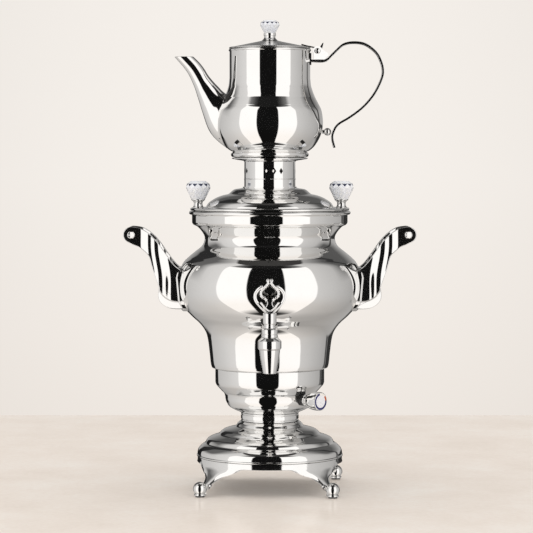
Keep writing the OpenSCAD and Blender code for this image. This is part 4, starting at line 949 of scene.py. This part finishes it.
def spout_rings(wall, sides=56):
    """Ellipses c + cos t * half height * u + sin t * half width * Y, with u the direction
    from the lower to the upper edge, made smaller by the wall. Ring 0 lies on the bulb:
    its distance from the axis is the pot's radius at that height, less BULB_SINK. The
    other rings up to ON_BULB come no nearer to the axis than that."""
    t = np.linspace(0, 2 * np.pi, sides, endpoint=False)
    middle, across = (low_edge + high_edge) / 2, high_edge - low_edge
    tall = np.linalg.norm(across, axis=1, keepdims=True)
    u = across / tall
    at = middle[:, None] + (tall / 2 - wall)[:, None] * np.cos(t)[None, :, None] * u[:, None]
    y = (half_wide - wall)[:, None] * np.sin(t)
    x, z = at[..., 0].copy(), at[..., 1]
    pot_r = np.interp(z[:ON_BULB], pot_vase[:, 1], pot_vase[:, 0])
    bulb_x = np.sqrt(pot_r ** 2 - y[:ON_BULB] ** 2) - BULB_SINK
    x[:ON_BULB] = np.maximum(x[:ON_BULB], bulb_x)
    x[0] = bulb_x[0]
    return np.stack([-x, y, z], -1)


outside, inside = spout_rings(0.0), spout_rings(1.0)
lip = (outside[-1] + inside[-1]) / 2 + [0, 0, 0.25]
rows = np.concatenate([outside, lip[None], inside[::-1]])
spout = (rows.reshape(-1, 3), quads(*rows.shape[:2], wrap_cols=True))
make("swan_spout", spout, "polished_steel", "pot", "pot_spout")

# %% [markdown]
# ## Strap handle of the teapot
#
# The handle is a flat strap bent in one long loop. A rounded rectangle is carried
# along its middle line, and a thin pad lies round the pot's wall at its upper end.


# %% Strap
def capped(rows, cols):
    """Faces of a tube of rows rings with cols points each, closed at both ends."""
    ends = [list(range(cols))[::-1], list(range((rows - 1) * cols, rows * cols))]
    return quads(rows, cols, wrap_cols=True).tolist() + ends


def ribbon(line, wide, thick, edge=0.4, beads=0.0, roof=0.0):
    """A rounded rectangle carried along a line in the XZ plane, always square to it:
    point + n * left + y * Y. thick is measured to the left of the way and wide along Y.
    With beads, left is multiplied by 1 + beads * sin(2 pi length / 2.4 mm). With roof,
    the front and back faces rise to a ridge that stands roof mm over their edges."""
    t, w = thick / 2, wide / 2
    corners = [(-t, roof - w), (-t, w - roof), (0, w), (t, w - roof), (t, roof - w), (0, -w)]
    section = soften(corners, edge, closed=True)
    p = np.asarray(line, float)
    step = np.linalg.norm(np.diff(p, axis=0, prepend=p[:1]), axis=1)
    swell = 1 + beads * np.sin(2 * np.pi * np.cumsum(step) / 2.4)
    left = (inset(p, 1.0) - p) * swell[:, None]
    at = p[:, None] + left[:, None] * section[None, :, :1]
    grid = np.stack([at[..., 0], np.broadcast_to(section[:, 1], at.shape[:2]), at[..., 1]], -1)
    return grid.reshape(-1, 3), capped(*grid.shape[:2])


strap = flow([(45.9, 484.5), (62, 484.5), (70.2, 491.2), (76, 496.9), (83, 502.6), (93, 504.9),
              (105.3, 503.7), (115, 498.2), (122.4, 490), (127.2, 477), (126.4, 465.1),
              (117.7, 447.1), (105.3, 432.4), (90.6, 421.1), (77, 412.6), (71.5, 403.5),
              (70.7, 396.5), (73.1, 386.5)], 8)
bearing = np.radians(np.linspace(-7, 7, 13))
pad_r, pad_z = np.array([(45.65, 480), (45.65, 493), (47.0, 493), (47.0, 480)]).T[:, :, None]
pad = np.stack([pad_r * np.cos(bearing), pad_r * np.sin(bearing), pad_z + 0 * bearing], -1)
pad_ends = [[0, 13, 26, 39], [51, 38, 25, 12]]
pad_faces = quads(4, 13, wrap_rows=True).tolist() + pad_ends
handle = join(ribbon(strap, wide=12, thick=2.6), (pad.reshape(-1, 3), pad_faces))
make("strap_handle", handle, "strap_steel", "pot", "pot_handle", slot="polished_steel")

# %% [markdown]
# ## Side handles
#
# Each handle is cast: two flat arms swing out from a saddle on the bulb to the grip.
# An arm is its side view, cut from a plate with rounded edges. A web joins the two
# arms at the outside, and two bosses carry the bolts.


# %% Plates and even outlines
def plate(outline, y0, y1, edge=0.8, steps=4):
    """A flat plate in the XZ plane from y0 to y1 with rounded edges. The outline, which
    runs anticlockwise seen from -Y, is laid at rising depth with a shrinking inset."""
    p = np.asarray(outline, float)
    a = np.linspace(0, np.pi / 2, steps + 1)
    sink = np.r_[edge * 1.5, edge * (1 - np.sin(a)), edge * (1 - np.sin(a))[::-1], edge * 1.5]
    depth = np.r_[y0, y0 + edge * (1 - np.cos(a)), y1 - edge * (1 - np.cos(a))[::-1], y1]
    ahead = np.roll(p, -1, 0) - np.roll(p, 1, 0)
    left = np.stack([-ahead[:, 1], ahead[:, 0]], 1) / np.linalg.norm(ahead, axis=1)[:, None]
    at = p[None] + sink[:, None, None] * left[None]
    grid = np.stack([at[..., 0], np.broadcast_to(depth[:, None], at.shape[:2]), at[..., 1]], -1)
    return grid.reshape(-1, 3), capped(*grid.shape[:2])


def even(line, step):
    """The same closed line with points at even distances of about step."""
    p = np.vstack([line, line[:1]])
    run = np.r_[0, np.cumsum(np.linalg.norm(np.diff(p, axis=0), axis=1))]
    at = np.linspace(0, run[-1], int(run[-1] / step), endpoint=False)
    return np.stack([np.interp(at, run, p[:, k]) for k in (0, 1)], 1)


print("a square plate has", len(plate([(0, 0), (9, 0), (9, 9), (0, 9)], 0, 5)[0]), "points")

# %% Outline of an arm
GRIP = (155.5, 288.7)
ARM_NEAR, ARM_FAR = 22.0, 27.0
tip = arc(GRIP, 9, 96, -52, 16)
outer_side = flow([(152.9, 277.5), (146.9, 275.1), (141.1, 270.5), (135.7, 264.7), (133.1, 256.1),
                   (130.1, 246), (126.3, 235.4), (124.1, 228.6), (125.3, 222), (124.2, 215.4),
                   (119.7, 210), (113.1, 206.6), (105.7, 205.4), (99, 205.4)], 6)[:-1]
on_tank = vase[(vase[:, 1] > 206.3) & (vase[:, 1] < 248)][::2]
on_tank[:, 0] = np.sqrt(on_tank[:, 0] ** 2 - (0.5 * (ARM_NEAR + ARM_FAR)) ** 2) - 0.1
inner_side = flow([(99.7, 249), (107.7, 255.6), (117.1, 268), (125.9, 280.5), (135.1, 289.9),
                   (144.9, 295.9), (154.56, 297.65)], 6)[:-1]
arm_line = even(np.vstack([tip, outer_side, on_tank, inner_side])[::-1], 1.4)
web = inset(flow([(124.1, 231), (125.1, 222), (124, 215.4), (119.5, 210.2), (112.9, 206.8),
                  (103.0, 205.6)], 6), -1.5)
print("the outline of an arm has", len(arm_line), "points")


# %% Saddle
def saddle(half_wide, half_tall, middle, corner, thick):
    """A rounded rectangle laid on the bulb: rings of its outline shrink to the middle,
    and x = sqrt((tank radius + height over it) ** 2 - y ** 2). The height falls from
    thick to the wall over a rounded edge."""
    w, h = half_wide - corner, half_tall - corner
    edge = np.vstack([arc((sx * w, sz * h), corner, a, a + 90, 8)
                      for sx, sz, a in ((1, 1, 0), (-1, 1, 90), (-1, -1, 180), (1, -1, 270))])
    a = np.linspace(0, np.pi / 2, 6)
    scale = np.r_[0.02, np.linspace(0.15, 0.93, 12), 1 - 0.04 * (1 - np.sin(a)), 1.0]
    high = np.r_[np.full(13, thick), thick - 1.1 * (1 - np.cos(a)), 0.05]
    y, z = scale[:, None] * edge[:, 0], middle + scale[:, None] * edge[:, 1]
    r = np.interp(z, vase[:, 1], vase[:, 0]) + high[:, None]
    grid = np.stack([np.sqrt(r ** 2 - y ** 2), y, z], -1)
    around = quads(*grid.shape[:2], wrap_cols=True)[:, ::-1].tolist()
    return grid.reshape(-1, 3), around + [list(range(len(edge)))]


def mirrored(points, faces):
    """The same piece on the other side: x changes sign and the faces turn round."""
    return points * [-1, 1, 1], [list(f)[::-1] for f in faces]


right_saddle = saddle(half_wide=29, half_tall=24.5, middle=227, corner=10, thick=5.0)
print("the saddle comes out to x =", round(right_saddle[0][:, 0].max(), 1), "mm")

# %% Handles and grips
boss = soften([(0, 0), (6, 0), (6, 13), (0, 13)], 0.5)
right = join(plate(arm_line, -ARM_FAR, -ARM_NEAR), plate(arm_line, ARM_NEAR, ARM_FAR),
             ribbon(web, wide=53, thick=3, edge=1.0), right_saddle,
             *[lathe(boss, 40, origin=(104.7, 0, z), axis=(1, 0, 0)) for z in (216, 238)])
for name, shape, node in (("handle_right", right, "right_handle"),
                          ("handle_left", mirrored(*right), "left_handle")):
    make(name, shape, "arm_chrome", "root", node, slot="cast_chrome", sharp=40)

bar = soften([(0, -21.95), (7.9, -21.95), (8.3, -21.2), (8.3, 21.2), (7.9, 21.95), (0, 21.95)],
             0.3)
bars = join(*[lathe(bar, 96, origin=(s * GRIP[0], 0, GRIP[1]), axis=(0, 1, 0)) for s in (-1, 1)])
make("grip_bars", bars, "grip", "root", "handle_grips")

# %% [markdown]
# ## The tap and its pierced key
#
# Body, cap nut and nozzle are turned. The key is cast flat and pierced: a beaded band
# round the diamond, scrolls outside it and paired rods below, each a rounded strip
# along its own line. Drawing it as strips keeps every opening clear right through,
# where a picture on a plate would only darken it.

# %% Tap body, nut and nozzle
TAP_Y = -125
TAP = dict(origin=(0, TAP_Y, 0))
body_line = [(0, 168), (11.5, 168), (12.7, 169.8), (12.7, 177.4), (12, 178.4), (9.1, 181),
             (6.9, 181), (6.9, 184.9), (0, 184.9)]
branch_line = [(0, 0), (7.1, 0), (7.1, 15.9), (6.05, 15.9), (0, 15.9)]
tap = join(lathe(soften(body_line, 0.35), 120, **TAP),
           lathe(soften(branch_line, 0.5), 72, origin=(0, TAP_Y, 174), axis=(0, 1, 0)))
make("tap_barrel", tap, "cast_chrome", "root", "tap_body")
nut = soften([(5.05, 184.0), (5.05, 181.25), (8.2, 181.2), (8.7, 181.8), (8.7, 184.4),
              (8.35, 184.9), (8.7, 185.4), (8.7, 189.8), (7.5, 191), (5.05, 191)],
             0.3, closed=True)
make("cap_nut", lathe(nut, 96, **TAP), "turned_chrome", "root", "tap_cap_nut")
nozzle = soften([(4.5, 142.3), (6.7, 142.3), (7.2, 142.8), (10.1, 159), (11, 165.8), (11.2, 168),
                 (4.5, 167.9)], 0.3, closed=True)
make("nozzle", lathe(nozzle, 96, **TAP), "turned_chrome", "root", "tap_nozzle")

# %% Lines of the pierced key, in distance from the middle and height over the boss
KEY_FOOT = 207.7
key_band = flow([(-2.0, 35.2), (-2.0, 31.8), (-4.6, 28.6), (-8, 25.2), (-9.6, 21.8), (-8.5, 17.6),
                 (-5, 15.4), (-2.9, 12.8), (-2.5, 9.8), (-3.9, 6.6)], 12)
scroll = flow([(-8.6, 27.9), (-12.4, 25.4), (-15.2, 21.4), (-15.9, 17.6), (-15.1, 13.8),
               (-13.1, 10.4)], 7)
rod_low = flow([(-14.1, 10.6), (-10.8, 6.9), (-7.6, 3.7), (-4.6, 1.3), (0.6, -0.6)], 5)
rod_high = flow([(-9.5, 11.0), (-7.0, 7.7), (-4.6, 5.0), (-2.2, 3.0), (0.6, 1.6)], 5)
unit_ball = np.vstack([[[0, -1]], arc((0, 0), 1, -84, 84, 12), [[0, 1]]])
BALLS = [(-2.0, 35.3, 1.8), (-8.8, 28.2, 1.9), (-13.5, 10.8, 1.5), (-9.6, 10.9, 1.3)]
print("the key's band starts", round(KEY_FOOT + key_band[0, 1], 1), "mm over the table")

# %% Pierced key
half = [ribbon(key_band, 3.6, 2.5, 0.25, beads=0.22, roof=0.6),
        ribbon(scroll, 4.0, 3.3, 0.3, roof=0.75), ribbon(rod_low, 3.6, 1.8, 0.2, roof=0.45),
        ribbon(rod_high, 4.0, 2.0, 0.2, roof=0.5),
        *[lathe(unit_ball * r, 20, origin=(x, 0, z)) for x, z, r in BALLS]]
leaf = soften([(0, 0), (-4.4, 6), (-2.4, 11.6), (0, 14.8), (2.4, 11.6), (4.4, 6)], 0.6,
              closed=True)
points, faces = join(*half, *[mirrored(*h) for h in half],
                     plate(even(leaf, 0.8), -1.6, 1.6, edge=1.2))
key_boss = soften([(0, 191.4), (6.6, 191.4), (6.8, 192.6), (6.2, 194.2), (6.4, 195.6),
                   (7.3, 196.6), (7.3, 206.9), (6.6, 208.1), (0, 208.1)], 0.4)
key = join((points + [0, TAP_Y, KEY_FOOT], faces), lathe(key_boss, 96, **TAP))
make("pierced_key", key, "key_casting", "tap", "tap_key", slot="cast_chrome", sharp=40)

# %% [markdown]
# ## The regulator knob
#
# The knob points 45 degrees to the right of the tap. It is turned like the rest and
# has a shallow seat for the printed dial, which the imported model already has.

# %% Regulator knob
stem = np.vstack([[(0, 57.3), (6.8, 57.3), (6.8, 58.9), (6.2, 59.3), (6.8, 59.7), (6.8, 61.7)],
                  flow([(7.5, 62.2), (8.9, 65.0), (9.8, 68.4), (10.3, 72.4), (10.4, 75.5)])])
knob = np.vstack([soften(stem, 0.25), arc((9.2, 78.8), 1.2, 0, 80, 8),
                  [(9.5, 79.9), (9.5, 79.18), (0, 79.18)]])
make("dial_knob", lathe(knob, 128, **REGULATOR), "turned_knob", "regulator", "regulator_knob",
     slot="turned_chrome")

# %% [markdown]
# ## The pieces that stay as packed
#
# Screws, nuts, pins, the wiring and the heating parts are simple solids, and most of
# them sit inside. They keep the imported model's own meshes and get the finish that the
# record names for them, or a closer one of the same metal. Flat faces and round ones
# share smooth shading, with the edges split where two faces meet at over 30 degrees.

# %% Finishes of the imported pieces
slot_of = {s["node"]: s["material_slot"] for s in frame["record"]["subparts"]}
# The stand ring's finish paints shade on its inside.
OWN_FINISH = {"pot_hinge_bracket": "domed", "grip_screws": "domed", "stand_ring": "vented"}
dressed = 0
for node_name, node in frame["nodes"].items():
    node.data.materials.clear()
    node.data.materials.append(FINISH[OWN_FINISH.get(node_name, slot_of[node_name])])
    node.data.polygons.foreach_set("use_smooth", np.ones(len(node.data.polygons), bool))
    weld = node.modifiers.new("weld", "WELD")
    weld.merge_threshold = 0.01 * MM
    edges = node.modifiers.new("edges", "EDGE_SPLIT")
    edges.split_angle = np.radians(30)
    dressed += not node.hide_render
print(dressed, "packed pieces are shown as they are")
